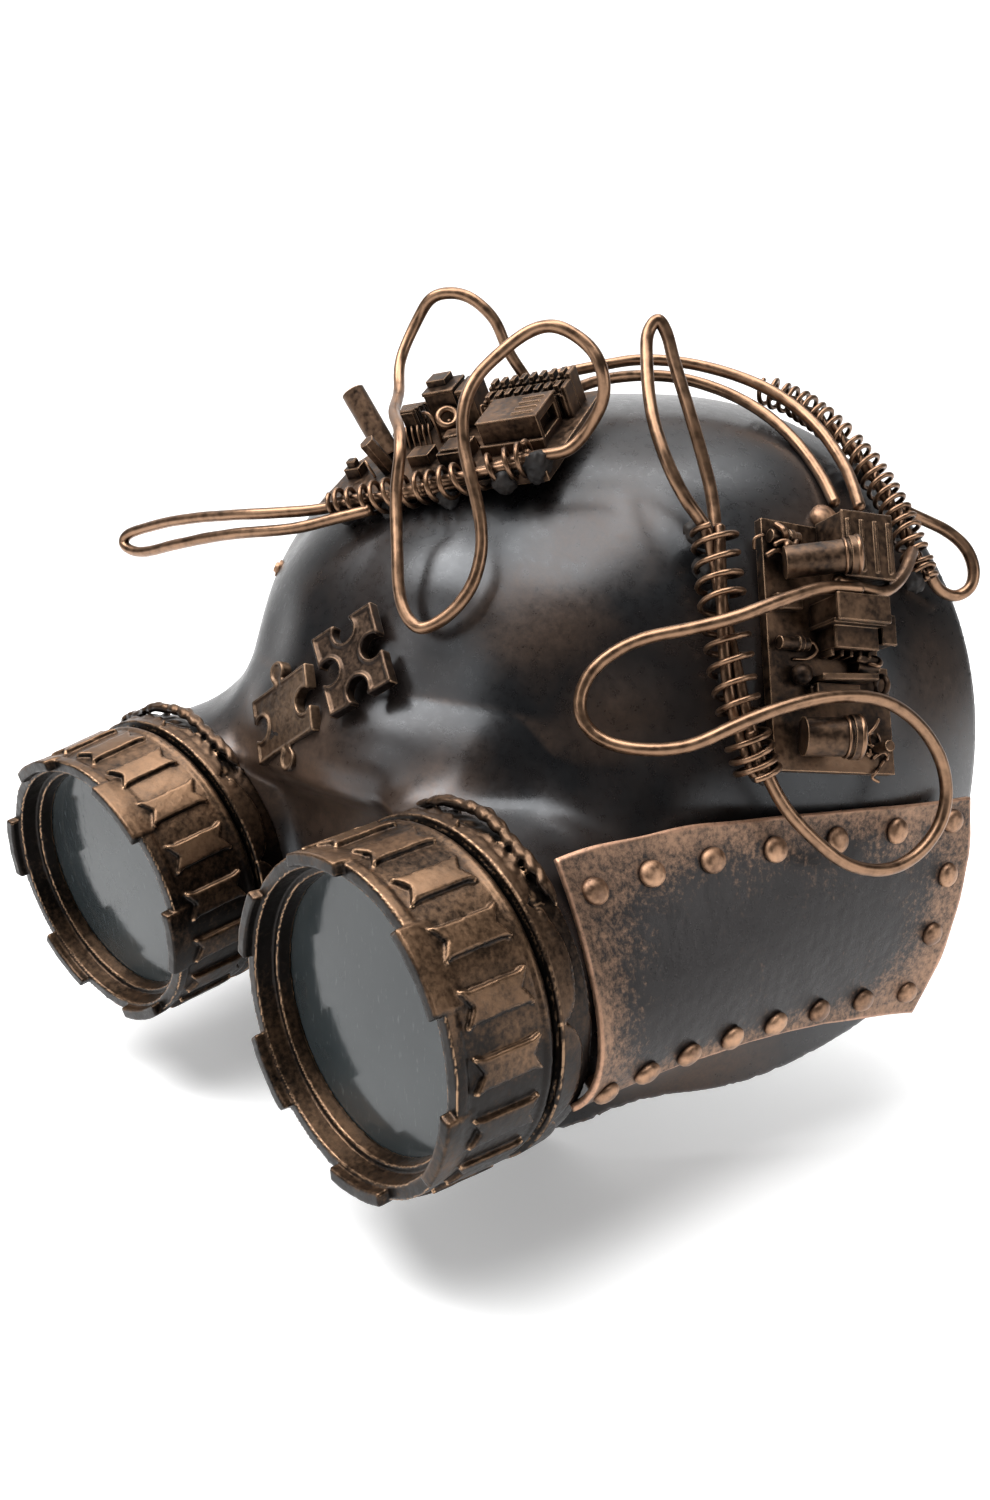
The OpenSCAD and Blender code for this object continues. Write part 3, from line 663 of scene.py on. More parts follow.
# ---------------------------------------------------------------- goggles
RING_FRONT_R, RING_FLARE, RING_LONG = 28.4, 1.3, 17.8
RING_PROFILE = [
    (RING_FRONT_R, 0.0), (29.7, RING_LONG), (29.1, 18.6), (26.58, 18.6), (26.58, 6.0),
    (24.2, 6.0), (24.6, 3.4), (25.8, 3.4), (26.2, 0.0),
]
RIBBON = [(2.75, 6.1), (0.0, 4.4), (-2.75, 6.1), (-2.25, 4.6), (-2.25, -4.6)]
RIBBON += [(-across, -along) for across, along in RIBBON]
RIBBON_EVERY, RIBBON_OUT, RIBBON_AT = 20.0, 0.8, 9.3
TAB_TURN, TAB_EVERY, TAB_HALF_WIDTH = {1: -20.0, -1: -8.0}, 60.0, 7.0
RING_BOX = (-31.5, -31.5, -19.5), (31.5, 31.5, 3.0)
COLLAR_R, FLANGE_R, FLANGE_AT = 29.7, 31.3, 25.6
CUP_PROFILE = [
    (24.0, 9.4), (26.5, 9.4), (26.5, 19.2), (29.2, 19.4), (29.5, 20.2), (COLLAR_R, 26.6),
    (28.9, 26.9), (28.8, 24.2), (25.0, 24.2), (25.0, 30.0), (22.7, 30.0),
]
PETAL_EVERY, PETAL_FOOT, PETAL_REACH = 36.0, 19.8, 4.4
FLANGE_TOP = {1: 88.0, -1: 92.0}
CUP_BOX = (-35.5, -35.5, -31.0), (35.5, 35.5, -8.5)


def wrapped(angle, period):
    """The angle from the nearest multiple of the period."""
    return (angle + period / 2) % period - period / 2


def ring_skin(d):
    """The radius of the ring's plain outside, d behind its front face."""
    return RING_FRONT_R + RING_FLARE * np.clip(d / RING_LONG, 0, 1)


def ring_field(side):
    """A lens ring: a lathed band with ribbon shaped ribs round it and tabs at its front edge."""

    def field(u, v, w):
        d, r = -w, np.hypot(u, v)
        angle = np.degrees(np.arctan2(v, u))
        band = 0.35 * ease((d - 1.6) / 0.8) * ease((17.2 - d) / 0.8)
        body = polygon_distance(r + band * ease((r - 27.2) / 0.6), d, RING_PROFILE) - 0.12
        arc = np.radians(wrapped(angle - 5.0, RIBBON_EVERY)) * r
        ribbon = polygon_distance(arc, d - RIBBON_AT, RIBBON) - 0.2
        skin = ring_skin(d)
        rib = smooth_max(ribbon, np.maximum(r - skin - RIBBON_OUT, skin - 1.4 - r), 0.3)
        arc = np.radians(wrapped(angle - TAB_TURN[side], TAB_EVERY)) * r
        tab = np.maximum(r - 29.0 + 0.12 * np.maximum(d - 0.5, 0), 26.7 - r)
        tab = smooth_max(smooth_max(np.abs(arc) - TAB_HALF_WIDTH, np.abs(d - 1.0) - 3.0, 0.5), tab, 0.4)
        body = smooth_min(smooth_min(body, rib, 0.2), tab, 0.3)
        return body + 0.07 * lumps(u, v, w, 6.0, 11) + 0.03 * lumps(u, v, w, 2.0, 12)

    return field


def cup_field(side):
    """A goggle cup: spigot, scalloped collar, and a wavy melted flange over the top of its back."""

    def field(u, v, w):
        d, r = -w, np.hypot(u, v)
        angle = np.degrees(np.arctan2(v, u))
        body = polygon_distance(r, d, CUP_PROFILE) - 0.1
        lobe = np.abs(wrapped(angle + 8.0, PETAL_EVERY)) / (PETAL_EVERY / 2)
        reach = PETAL_FOOT + PETAL_REACH * np.sqrt(np.maximum(1 - lobe**2.2, 0))
        petal = smooth_max(smooth_max(d - reach, 19.5 - d, 0.2), np.abs(r - COLLAR_R - 0.2) - 0.6, 0.2)
        body = smooth_min(body, petal, 0.1)
        top = ease((np.cos(np.radians(angle - FLANGE_TOP[side])) - 0.52) / 0.25)
        wave = lumps(angle, 0, 0, 17.0, 21, 5)
        along = (d - FLANGE_AT - 1.3 * lumps(angle, 0, 0, 29.0, 22, 5)) * 0.8
        rim = np.hypot(r - FLANGE_R - 0.9 * wave, along)
        rim = rim - (0.95 + 0.25 * wave) * top + 2.0 * (1 - top)
        body = smooth_min(body, rim, 0.5)
        mess = top * ease((d - 20.5) / 2.0) * 0.8
        rough = np.abs(lumps(u, v, w, 4.0, 24)) - 0.25
        return body + 0.08 * lumps(u, v, w, 7.0, 23) - mess * np.where(r > 29.5, rough, 0)

    return field


for side, word in SIDES:
    for name, field, box, step, finish, node, body in (
        ("ring", ring_field(side), RING_BOX, 0.42, copper_cast, "lens_ring", f"{word}_ring"),
        ("cup", cup_field(side), CUP_BOX, 0.46, copper_cup, "goggle_cup", "mask"),
    ):
        obj, local = sculpt(
            f"{name}_{word}", field, box, step * (1), 0.4, finish, "goggle_bronze",
            f"{node}_{word}", body, GOGGLE[side],
        )
        skin = ring_skin(-local[:, 2]) if name == "ring" else COLLAR_R
        raised = np.hypot(local[:, 0], local[:, 1]) - skin
        set_value(obj, "raised", ease((raised + 0.15) / 0.7))

# ---------------------------------------------------------------- cheek plates
PLATE_TOP = [(60, -95.5, 26), (66, -75, 30), (84, -42, 26), (93.8, -11, 24.5)]
PLATE_MID = [(72.8, -99, 1), (76, -73, 3), (84, -47, 3), (94.5, -11.5, 3)]
PLATE_LOW = [(69.2, -101, -13), (74, -82, -11), (80, -50, -13), (90, -17, -21)]
PLATE_T, PLATE_LONG, PLATE_HALF_HIGH = 1.4, 62, 21
LIFT_CLEAR, LIFT_MOST = 0.7, 2.5


def bezier(rail, t):
    """Points at shares t of a cubic rail."""
    p = np.array(rail, float)
    t = t[..., None]
    return (1 - t) ** 3 * p[0] + 3 * t * (1 - t) ** 2 * p[1] + 3 * t * t * (1 - t) * p[2] + t**3 * p[3]


def plate_place(s, h):
    """A point of the plate: s is 0 at its front and 1 at its back, h is -1 at its low edge and 1 at its top."""
    low, mid, top = bezier(PLATE_LOW, s), bezier(PLATE_MID, s), bezier(PLATE_TOP, s)
    h = h[..., None]
    return low * (h * h - h) / 2 + mid * (1 - h * h) + top * (h * h + h) / 2


def plate_out(s, h):
    along = plate_place(s + 0.01, h) - plate_place(s - 0.01, h)
    across = plate_place(s, h + 0.01) - plate_place(s, h - 0.01)
    out = np.cross(along, across)
    return out / np.linalg.norm(out, axis=-1)[..., None]


def plate_lift(side, place):
    """How far the plate is sprung outward where the socket under it would stand through."""
    return np.clip(LIFT_CLEAR - shell_field(*np.moveaxis(place * [side, 1, 1], -1, 0)), 0, LIFT_MOST)


def cheek_plate(side, word):
    """A beaten sheet with a dished middle, a curled and ragged edge and a closed back."""
    cols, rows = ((150, 84))
    s, h = np.meshgrid(np.linspace(0, 1, cols + 1), np.linspace(-1, 1, rows + 1))
    ragged = 0.008 * lumps(s * 40, h * 12, 0 * s, 9.0, 31)
    s = s + ragged * (2 * np.abs(s - 0.5)) ** 6 * np.sign(s - 0.5)
    h = h * (1 + 1.6 * ragged * np.abs(h) ** 6)
    place, out = plate_place(s, h), plate_out(s, h)
    lift = plate_lift(side, place)
    for _ in range(12):
        lift[1:-1, 1:-1] = (lift[:-2, 1:-1] + lift[2:, 1:-1] + lift[1:-1, :-2] + lift[1:-1, 2:]) / 4
    place = place + out * lift[..., None]
    dish = (1 - (2 * np.clip(s, 0, 1) - 1) ** 4) * (1 - np.abs(h) ** 3)
    curl = 0.55 * np.maximum(np.abs(h), np.abs(2 * s - 1)) ** 14
    xyz = np.moveaxis(place, -1, 0)
    beaten = 0.10 * lumps(*xyz, 7.0, 32, 9) + 0.05 * lumps(*xyz, 2.6, 33, 9)
    skin = place + out * (curl + beaten - 0.45 * dish)[..., None]
    edge = np.minimum(np.minimum(s, 1 - s) * PLATE_LONG, (1 - np.abs(h)) * PLATE_HALF_HIGH)
    rounded = 0.35 - np.clip(edge, 0, 0.35)
    skin = skin - out * (0.5 * rounded)[..., None]
    back = skin - out * (PLATE_T - rounded)[..., None]
    count = (rows + 1) * (cols + 1)
    grid = np.arange(count).reshape(rows + 1, cols + 1)
    a, b, c, d = grid[:-1, :-1].ravel(), grid[:-1, 1:].ravel(), grid[1:, 1:].ravel(), grid[1:, :-1].ravel()
    faces = np.concatenate([np.stack([a, b, c, d], 1), np.stack([a, d, c, b], 1) + count])
    border = np.concatenate([grid[0, :], grid[1:, -1], grid[-1, -2::-1], grid[-2:0:-1, 0]])
    after = np.roll(border, -1)
    faces = np.concatenate([faces, np.stack([border, border + count, after + count, after], 1)])
    points = np.concatenate([skin.reshape(-1, 3), back.reshape(-1, 3)])
    if side < 0:
        points = points * [-1, 1, 1]
        faces = faces[:, ::-1]
    near_edge = np.exp(-np.clip(edge, 0, 99) / 0.45).ravel()
    obj = make_object(
        f"plate_{word}", points, faces, beaten_plate, "plate_bronze", f"cheek_plate_{word}",
        wear=np.tile(near_edge, 2),
    )
    set_value(obj, "middle", np.tile(ease(dish * 1.1 - 0.1).ravel(), 2))


for side, word in SIDES:
    cheek_plate(side, word)


# ---------------------------------------------------------------- jigsaw pieces
KNOB_R, KNOB_OUT, NECK_HALF, NECK_LONG, JIGSAW_T = 2.4, 2.2, 1.35, 1.6, 2.0
LOWER_SEAT = seat((-9, -95.6, 37.5), (-0.12, -0.94, 0.26), (0.85, 0.02, 0.53))
UPPER_SEAT = seat((8.5, -92.8, 50.5), (0.1, -0.91, 0.4), (0.62, -0.35, -0.7))


def jigsaw_field(width, length, kinds):
    """A jigsaw piece: kinds tells for each of its four edges whether it has a knob, 1, or a notch, -1."""

    def field(u, v, w):
        flat = np.maximum(np.abs(u) - width / 2, np.abs(v) - length / 2)
        ways = (1, 0), (0, 1), (-1, 0), (0, -1)
        for (ax, ay), reach, kind in zip(ways, (width / 2, length / 2) * 2, kinds):
            along, across = u * ax + v * ay - reach, u * ay - v * ax
            head = np.hypot(along - KNOB_OUT * kind, across) - KNOB_R
            neck = np.maximum(np.abs(across) - NECK_HALF, np.abs(along) - NECK_LONG)
            shape = smooth_min(head, neck, 0.7)
            flat = smooth_min(flat, shape, 0.7) if kind > 0 else smooth_max(flat, -shape, 0.7)
        flat = flat + 0.12 * lumps(u, v, 0 * u, 7.0, 41)
        top = JIGSAW_T - 0.42 * ease((-flat - 0.35) / 0.9) + 0.06 * lumps(u, v, 0 * u, 3.0, 42)
        return smooth_max(smooth_max(flat, w - top, 0.45), -0.4 - w, 0.2)

    return field


for name, finish, place, width, length, kinds in (
    ("puzzle_piece_lower", jigsaw_cast, LOWER_SEAT, 20, 14, (-1, 1, -1, 1)),
    ("puzzle_piece_upper", jigsaw_dark, UPPER_SEAT, 17, 15, (-1, -1, -1, -1)),
):
    x, y = width / 2 + 5.5, length / 2 + 5.5
    box = (-x, -y, -1.2), (x, y, 3.0)
    field = jigsaw_field(width, length, kinds)
    sculpt(f"cast_{name}", field, box, 0.28, 0.35, finish, "puzzle_copper", name, place=place)

# ---------------------------------------------------------------- wires and springs
WIRE_R = 1.15
FOREHEAD_LOOPS = [
    (8, -73, 82), (16, -70.5, 84), (24, -68, 86.5), (30, -65.5, 88), (34, -63, 89), (37, -61, 93),
    (40, -61, 98), (40, -62, 103), (37, -62.5, 107), (32, -65, 110), (27, -67, 109),
    (23.5, -71, 105), (22, -75, 101), (22, -78, 96), (23, -79, 90), (25.5, -80, 85),
    (27.5, -80, 79.5), (29, -80.5, 74.5), (29.5, -81.5, 70), (29, -83.5, 65), (26.5, -86.5, 60.5),
    (22.5, -89, 58), (19, -89.5, 60), (16, -88.5, 64), (13.5, -86.5, 70), (10.5, -84, 76),
    (8.5, -82, 82), (8, -80.5, 88), (4, -77, 92.5), (-3, -72, 95.5), (-9, -65, 99.5),
    (-13, -61, 106), (-12, -57, 114), (-8, -56, 118.5), (-2, -53, 118.5), (3, -50, 114),
    (5, -48, 108),
]
SIDE_LOOP = [
    (7, -73.5, 81.5), (-1, -75, 80), (-8, -77.5, 78.5), (-17, -82, 76.5), (-28, -88, 75.5),
    (-40, -90, 74.5), (-52, -92, 73), (-62, -93, 71), (-69, -94, 69), (-69.5, -94.5, 66.5),
    (-63, -94, 65.5), (-51, -93, 68), (-38, -91, 70.5), (-27, -89, 72), (-18, -86, 73),
    (-11, -82, 75), (-4, -78, 77),
]
CROWN_UPPER = [
    (7, -34, 104), (13, -26, 106), (19, -22, 107), (26, -16, 106.5), (34, -12, 104.5), (42, -10, 101.5),
    (49, -9, 97.5), (56, -11, 93), (62, -14, 88), (67, -18, 83.5), (71, -22, 79),
]
CROWN_LOWER = [
    (17, -45, 99), (17.5, -36, 102), (20.5, -27, 103.5), (26, -20, 103.5), (33, -15.5, 101.5),
    (40, -13.5, 98.5), (47, -13, 94.5), (54, -14.5, 89.5), (60.5, -18, 84.5), (66, -22, 79.5),
]
TALL_LOOP = [
    (61, -55, 70), (59.5, -56, 76), (57, -59, 81), (53.5, -60, 87), (49.5, -58.5, 93), (46, -56, 99),
    (43.5, -53.5, 104.5), (42, -51.5, 109), (43, -50, 111.5), (44.5, -49, 109), (46, -49, 105),
    (48.5, -49.5, 100), (51.5, -50, 94), (54, -50, 88), (57, -51, 81.5), (59.5, -53, 75.5),
]
TEMPLE_LOOPS = [
    (80, -38, 66), (76.5, -45, 66.5), (74, -54, 65), (70, -62, 62.5), (64.5, -67.5, 60.5),
    (58, -72, 58.5), (53.5, -76, 55), (51.5, -79, 50.5), (52.5, -80.5, 45.5), (56.5, -79.5, 42),
    (62.5, -76.5, 41), (69, -72, 42), (75, -67, 46), (79.5, -60, 48.5), (84, -51, 49.5),
    (88, -42, 48), (91.5, -35, 43.5), (94.5, -30.5, 37), (96, -29, 30), (96, -31, 24),
    (94.5, -36, 19.5), (92, -43, 18), (88.5, -50, 20), (84.5, -55.5, 25), (80, -59, 31),
    (76.5, -60.5, 37.5), (74, -61, 43),
]
REAR_LOOP = [
    (74, -9, 78), (77, -5, 76), (80.5, -2.5, 74), (84, -1.5, 71), (86, -1.5, 67), (86, -2.5, 63.5),
    (84, -5, 62), (82, -9, 64), (81, -12, 68),
]
CONNECTOR_LINK = [
    (77, -41, 67.5), (79.5, -37, 66), (81.5, -32, 65), (82, -27, 66.5), (81, -21, 69), (79.5, -16, 71),
]
FOREHEAD_LINE = [(-13, -79, 77.5), (-1, -75, 80), (13, -71.5, 83), (27.5, -66.5, 87.5)]
TEMPLE_LINE = [(60, -54.5, 76), (65, -58, 63), (70.5, -61, 49), (75.5, -60.5, 36)]
CROWN_LINE = [
    (40, -6, 101), (48, -5.5, 98), (56.5, -6.5, 93), (65, -8.5, 86.5), (72.5, -11, 79), (77.5, -13, 72.5),
    (81.5, -14.5, 66),
]


def wire(name, route):
    """A bent wire: its route made smooth, then a little uneven in line and thickness."""
    points = curve_through(route, 14)
    for _ in range(18):
        points[1:-1] = 0.25 * points[:-2] + 0.5 * points[1:-1] + 0.25 * points[2:]
    points = points + 0.06 * np.stack([lumps(*points.T, 15.0, seed) for seed in (51, 52, 53)], 1)
    thick = WIRE_R * (1 + 0.035 * lumps(*points.T, 5.0, 54))
    make_object(f"bent_{name}", *tube_mesh(points, thick, 18), copper_wire, "wire_copper", name)


for name, route in (
    ("wire_forehead_loops", FOREHEAD_LOOPS + [(7.5, -45.5, 103), (9.5, -43, 98), (10.5, -41, 92.5)]),
    ("wire_side_loop", SIDE_LOOP),
    ("wire_crown_upper", [(-2.5, -42.5, 93.5), (-0.5, -40.5, 98), (2.5, -37.5, 101.5)] + CROWN_UPPER),
    ("wire_crown_lower", CROWN_LOWER),
    ("wire_tall_loop", TALL_LOOP),
    ("wire_temple_loops", TEMPLE_LOOPS),
    ("wire_rear_loop", REAR_LOOP),
    ("wire_connector_link", CONNECTOR_LINK),
):
    wire(name, route)


def spring(name, line, coil_r, turns, wire_r, seed):
    """A hand wound coil: its pitch, size and lean vary a little from turn to turn. Gives its middle line."""
    fine = curve_through(line, 60)
    rng = np.random.default_rng(seed)
    steps = 26
    turn = np.arange(turns * steps + 1) / steps

    def varied(amount, about=1.0):
        return np.interp(turn, np.arange(turns + 1), about + amount * rng.uniform(-1, 1, turns + 1))

    travel = np.concatenate([[0], np.cumsum(varied(0.35)[1:])])
    share = travel / travel[-1] * (len(fine) - 1)
    at = np.array([np.interp(share, np.arange(len(fine)), fine[:, k]) for k in range(3)]).T
    tangent, side, up = frames_along(at, (0, -0.6, 1))
    size = coil_r * varied(0.06)
    lean = varied(0.5, 0.0)
    a = 2 * math.pi * turn
    points = at + size[:, None] * (np.cos(a)[:, None] * side + np.sin(a)[:, None] * up)
    points += (lean * np.cos(a))[:, None] * tangent
    make_object(f"wound_{name}", *tube_mesh(points, wire_r, 9), copper_wire, "spring_copper", name)
    return fine


fore_core = spring("forehead_spring", FOREHEAD_LINE, 2.9, 15, 0.5, 61)
temple_core = spring("temple_spring", TEMPLE_LINE, 3.7, 14, 0.55, 62)
crown_core = spring("crown_spring", CROWN_LINE, 2.6, 24, 0.5, 63)


def twisted_core(name, line, radius, twist, turns):
    """Two thin wires twisted together inside a spring."""
    _, side, up = frames_along(line)
    a = 2 * math.pi * turns * np.linspace(0, 1, len(line))
    strands = []
    for phase in (0, math.pi):
        offset = np.cos(a + phase)[:, None] * side + np.sin(a + phase)[:, None] * up
        strands.append(tube_mesh(line + twist * offset, radius, 10))
    make_object(name, *joined(strands), copper_wire, "wire_copper")


twisted_core("forehead_core", fore_core, 0.9, 0.85, 1)
twisted_core("temple_core", temple_core, 1.05, 1.1, 0.6)
twisted_core("crown_core", crown_core[20:], 0.7, 0.65, 5)

# ---------------------------------------------------------------- rivets and studs
RIVETS = [(0.07 + 0.88 * i / 6, 0.8) for i in range(7)] + [(0.95, 0.3), (0.95, -0.25)]
RIVETS += [(0.95 - 0.88 * i / 7, -0.8) for i in range(8)]
HEAD = [(2.1, -3.0), (2.1, -0.3), (2.35, -0.1), (2.4, 0.3), (2.2, 0.8), (1.75, 1.2), (1.1, 1.45), (0.4, 1.55)]
STUD = [(2.6, -2.0), (2.6, 0.2), (2.45, 0.9), (1.7, 1.4), (0.6, 1.6)]


def dome_mesh(place, profile, seed):
    """A lathed head, a little out of round: profile is (radius, height) from its foot to its top."""
    sides = 28
    angle = 2 * math.pi * np.arange(sides) / sides
    rng = np.random.default_rng(seed)
    oval, turn = 0.06 * rng.uniform(-1, 1), rng.uniform(0, 6.28)
    stretch = 1 + oval * np.cos(2 * angle + turn)
    outline = np.stack([stretch * np.cos(angle), stretch * np.sin(angle), 0 * angle], 1)
    rows = [outline * r + [0, 0, h] for r, h in profile]
    return to_world(place, np.concatenate(rows)), ring_faces(len(rows), sides)


for side, word in SIDES:
    heads = []
    mirror = np.array([side, 1, 1])
    for i, spot in enumerate(RIVETS):
        s, h = np.array(spot)[:, None]
        at, out = plate_place(s, h)[0], plate_out(s, h)[0]
        at = at + out * plate_lift(side, at)
        heads.append(dome_mesh(seat(at * mirror, out * mirror, (0, 1, 0)), HEAD, 70 + i))
    make_object(f"rivets_{word}", *joined(heads), copper_rivet, "rivet_copper", f"plate_rivets_{word}")
crown_stud = dome_mesh(seat((66, -26, 77), (0.65, -0.27, 0.71), (0, 1, 0)), STUD, 91)
make_object("crown_stud", *crown_stud, copper_rivet, "rivet_copper")

# ---------------------------------------------------------------- small parts on the boards
FOREHEAD = seat((1, -57, 89.5), (0, -0.515, 0.857), (0.97, 0.207, 0.125))
TEMPLE = seat((74, -41, 55), (0.837, -0.376, 0.398), (0.455, 0.882, -0.125))


def rod(place, a, b, r, sides=14):
    """A straight round bar from a to b."""
    return tube_mesh(to_world(place, np.linspace(a, b, 4)), r, sides)


def bent(place, route, r, sides=8):
    """A thin bent lead."""
    return tube_mesh(to_world(place, curve_through(route, 6)), r, sides)


def block(place, at, size, chamfer=0.18, turn=0.0):
    """A box with chamfered edges: at is the middle of its foot."""
    outline = []
    for z, inset in ((0, 0), (size[2] - chamfer, 0), (size[2], chamfer)):
        x, y = size[0] / 2 - inset, size[1] / 2 - inset
        a, b = x - chamfer, y - chamfer
        corners = ((a, -y), (x, -b), (x, b), (a, y), (-a, y), (-x, b), (-x, -b), (-a, -y))
        outline += [(px, py, z) for px, py in corners]
    spin = np.array(Matrix.Rotation(math.radians(-turn), 3, "Z"))
    return to_world(place, np.array(outline) @ spin + at), ring_faces(3, 8)


def ring_mesh(place, at, axis, big, small):
    """A closed ring of round wire about an axis."""
    around, sides = 28, 10
    p = (2 * math.pi * np.arange(around) / around)[:, None]
    q = -2 * math.pi * np.arange(sides) / sides
    r = big + small * np.cos(q)
    points = np.stack([r * np.cos(p), r * np.sin(p), small * np.sin(q) + 0 * p], -1).reshape(-1, 3)
    where = seat(at, axis, (0.3, 1, 0.2))
    return to_world(place, to_world(where, points)), ring_faces(around, sides, closed=True)


def blocks(name, place, rows):
    """Small blocks on a board. Each row is the middle of a foot, a size, and maybe a chamfer and a turn."""
    meshes = [block(place, *row) for row in rows]
    make_object(name, *joined(meshes), copper_part, "circuit_bronze", smooth=False)


def leads(name, place, others, rows):
    """Bent leads on a board, with other round meshes. Each row is a route, a radius, and maybe its sides."""
    make_object(name, *joined(others + [bent(place, *row) for row in rows]), copper_wire, "wire_copper")


def header_pins():
    """Two stepped rows of bent header pins, each with the bar at its end."""
    rows = []
    for y, top in ((4.6, 6.0), (8.2, 7.0)):
        for i in range(12):
            x = 6.6 + 1.55 * i
            rows.append(((x, y - 1.55, 1.2), (0.8, 0.55, top - 1.4), 0.1))
            rows.append(((x, y, top - 0.2), (0.85, 2.6, 1.0), 0.12))
        rows.append(((24.4, y, 1.0), (1.0, 3.4, top + 0.4), 0.15))
    return rows


FOREHEAD_BLOCKS = header_pins()
for i in range(4):
    FOREHEAD_BLOCKS.append(((-13.5 + 0.6 * i, 8.5 - 1.9 * i, 5.6 + 0.5 * i), (6.4 - i, 0.9, 0.9), 0.12))
    FOREHEAD_BLOCKS.append(((19.6, -5.9 + 1.9 * i, 7.6), (4.6, 0.5, 0.35), 0.08))
FOREHEAD_BLOCKS += [
    ((-4.5, 8, 9.2), (7.5, 6.5, 0.7), 0.15),
    ((1.6, 8, 8.6), (3.9, 6.9, 0.7), 0.15),
    ((16.5, -3, 7.3), (13.4, 9.4, 0.35), 0.12),
    ((16.5, -8.2, 1.0), (14.0, 0.9, 2.2), 0.12),
    ((-21, -9, 3.0), (2.2, 1.8, 1.6), 0.2),
    ((-14.5, 1.5, 1.0), (3.4, 1.2, 3.2), 0.12, 20),
    ((0.5, -1.5, 1.0), (4.6, 3.2, 2.8), 0.15, 8),
    ((4, -8, 4.0), (4.8, 4.8, 0.6), 0.15),
]
blocks("forehead_fine_blocks", FOREHEAD, FOREHEAD_BLOCKS)

FOREHEAD_LEADS = [([(x, -4.6, 3.4), (x, -4.2, 2.6), (x, -3.8, 1.0)], 0.22) for x in np.arange(1.5, 7)]
for x in -13.0 + 1.4 * np.arange(5):
    FOREHEAD_LEADS.append(([(x, 2.0, 4.6), (x + 0.5, 0.6, 3.6), (x + 0.9, -0.6, 1.0)], 0.25))
for x in 7.0 + 2.3 * np.arange(7):
    FOREHEAD_LEADS.append(([(x, 2.9, 6.0), (x - 0.6, 1.9, 6.6), (x - 0.4, 1.2, 4.6), (x, 1.4, 2.0)], 0.28))
FOREHEAD_LEADS += [
    ([(-18.5, -8.4, 3.6), (-17.2, -9.6, 4.0), (-16.0, -10.6, 2.6), (-15.4, -11.0, 1.0)], 0.3),
    ([(-9, 4, 5.2), (-7.5, 2.0, 7.2), (-5.2, 1.0, 6.4), (-4.6, 0.4, 1.0)], 0.35),
]
eyelet = [ring_mesh(FOREHEAD, (-2.5, 2.4, 5.2), (0.5, -0.5, 0.8), 1.9, 0.75)]
eyelet.append(rod(FOREHEAD, (-2.5, 2.4, 1.0), (-2.5, 2.4, 4.4), 0.6))
leads("forehead_fine_leads", FOREHEAD, eyelet, FOREHEAD_LEADS)

TEMPLE_BLOCKS = [
    ((6.5, 17.2, 8.2), (11.0, 12.2, 0.5)),
    ((4, 5.4, 8.8), (11.2, 5.0, 0.7)),
    ((4.4, 1, 5.9), (9.2, 4.6, 0.6)),
    ((4, 3.2, 1.0), (11.0, 0.8, 7.2), 0.12),
    ((11.2, 2.6, 6.2), (3.2, 5.6, 0.6)),
    ((3.5, -6.0, 1.0), (12.0, 1.2, 4.4), 0.18, 3),
    ((-1.5, -8.4, 1.0), (3.0, 2.4, 1.6), 0.18, 12),
    ((8.5, -2.4, 1.0), (4.6, 1.4, 3.0), 0.18, -6),
    ((-6.5, 7.6, 1.0), (5.2, 3.0, 1.8), 0.18, 4),
]
TEMPLE_BLOCKS += [((2.1 + 2.9 * i, 16.9, 8.5), (0.6, 9.4, 0.7), 0.1) for i in range(4)]
TEMPLE_BLOCKS += [((0.6 + 2.0 * i, -1.6, 1.0), (0.6, 1.2, 3.4), 0.1) for i in range(5)]
blocks("temple_fine_blocks", TEMPLE, TEMPLE_BLOCKS)


def can_end(origin, tilt, turn, length, r):
    """The rolled rims and the cross on the open end of a can that lies on the temple board."""
    lie = Matrix.Rotation(math.radians(turn), 3, "Z") @ Matrix.Rotation(math.radians(tilt), 3, "Y")
    axis, across, up = np.array(lie).T
    at = origin + axis * (length + 1.0)
    trim = [ring_mesh(TEMPLE, at + axis * 0.4, axis, r + 0.1, 0.55)]
    trim.append(ring_mesh(TEMPLE, at + axis * 0.1, axis, r - 1.1, 0.28))
    trim.append(ring_mesh(TEMPLE, origin + axis * (length - 0.8), axis, r + 0.05, 0.3))
    for line in (up, across):
        arm = line * (r - 1.1)
        trim.append(rod(TEMPLE, at - arm + axis * 0.1, at + arm + axis * 0.1, 0.3, 8))
    return trim


def tangle(rng):
    """Seven short leads that wander over the low end of the temple board."""
    rows = []
    for _ in range(7):
        at = np.array([9.5 + rng.uniform(-2.5, 3.0), -17.0 + rng.uniform(-4, 4), 1.4])
        route = [at]
        for _ in range(4):
            at = at + rng.uniform(-1.7, 1.7, 3) * [1, 1, 0.7]
            at[2] = np.clip(at[2], 1.1, 4.4)
            route.append(at)
        rows.append((route, 0.28))
    return rows


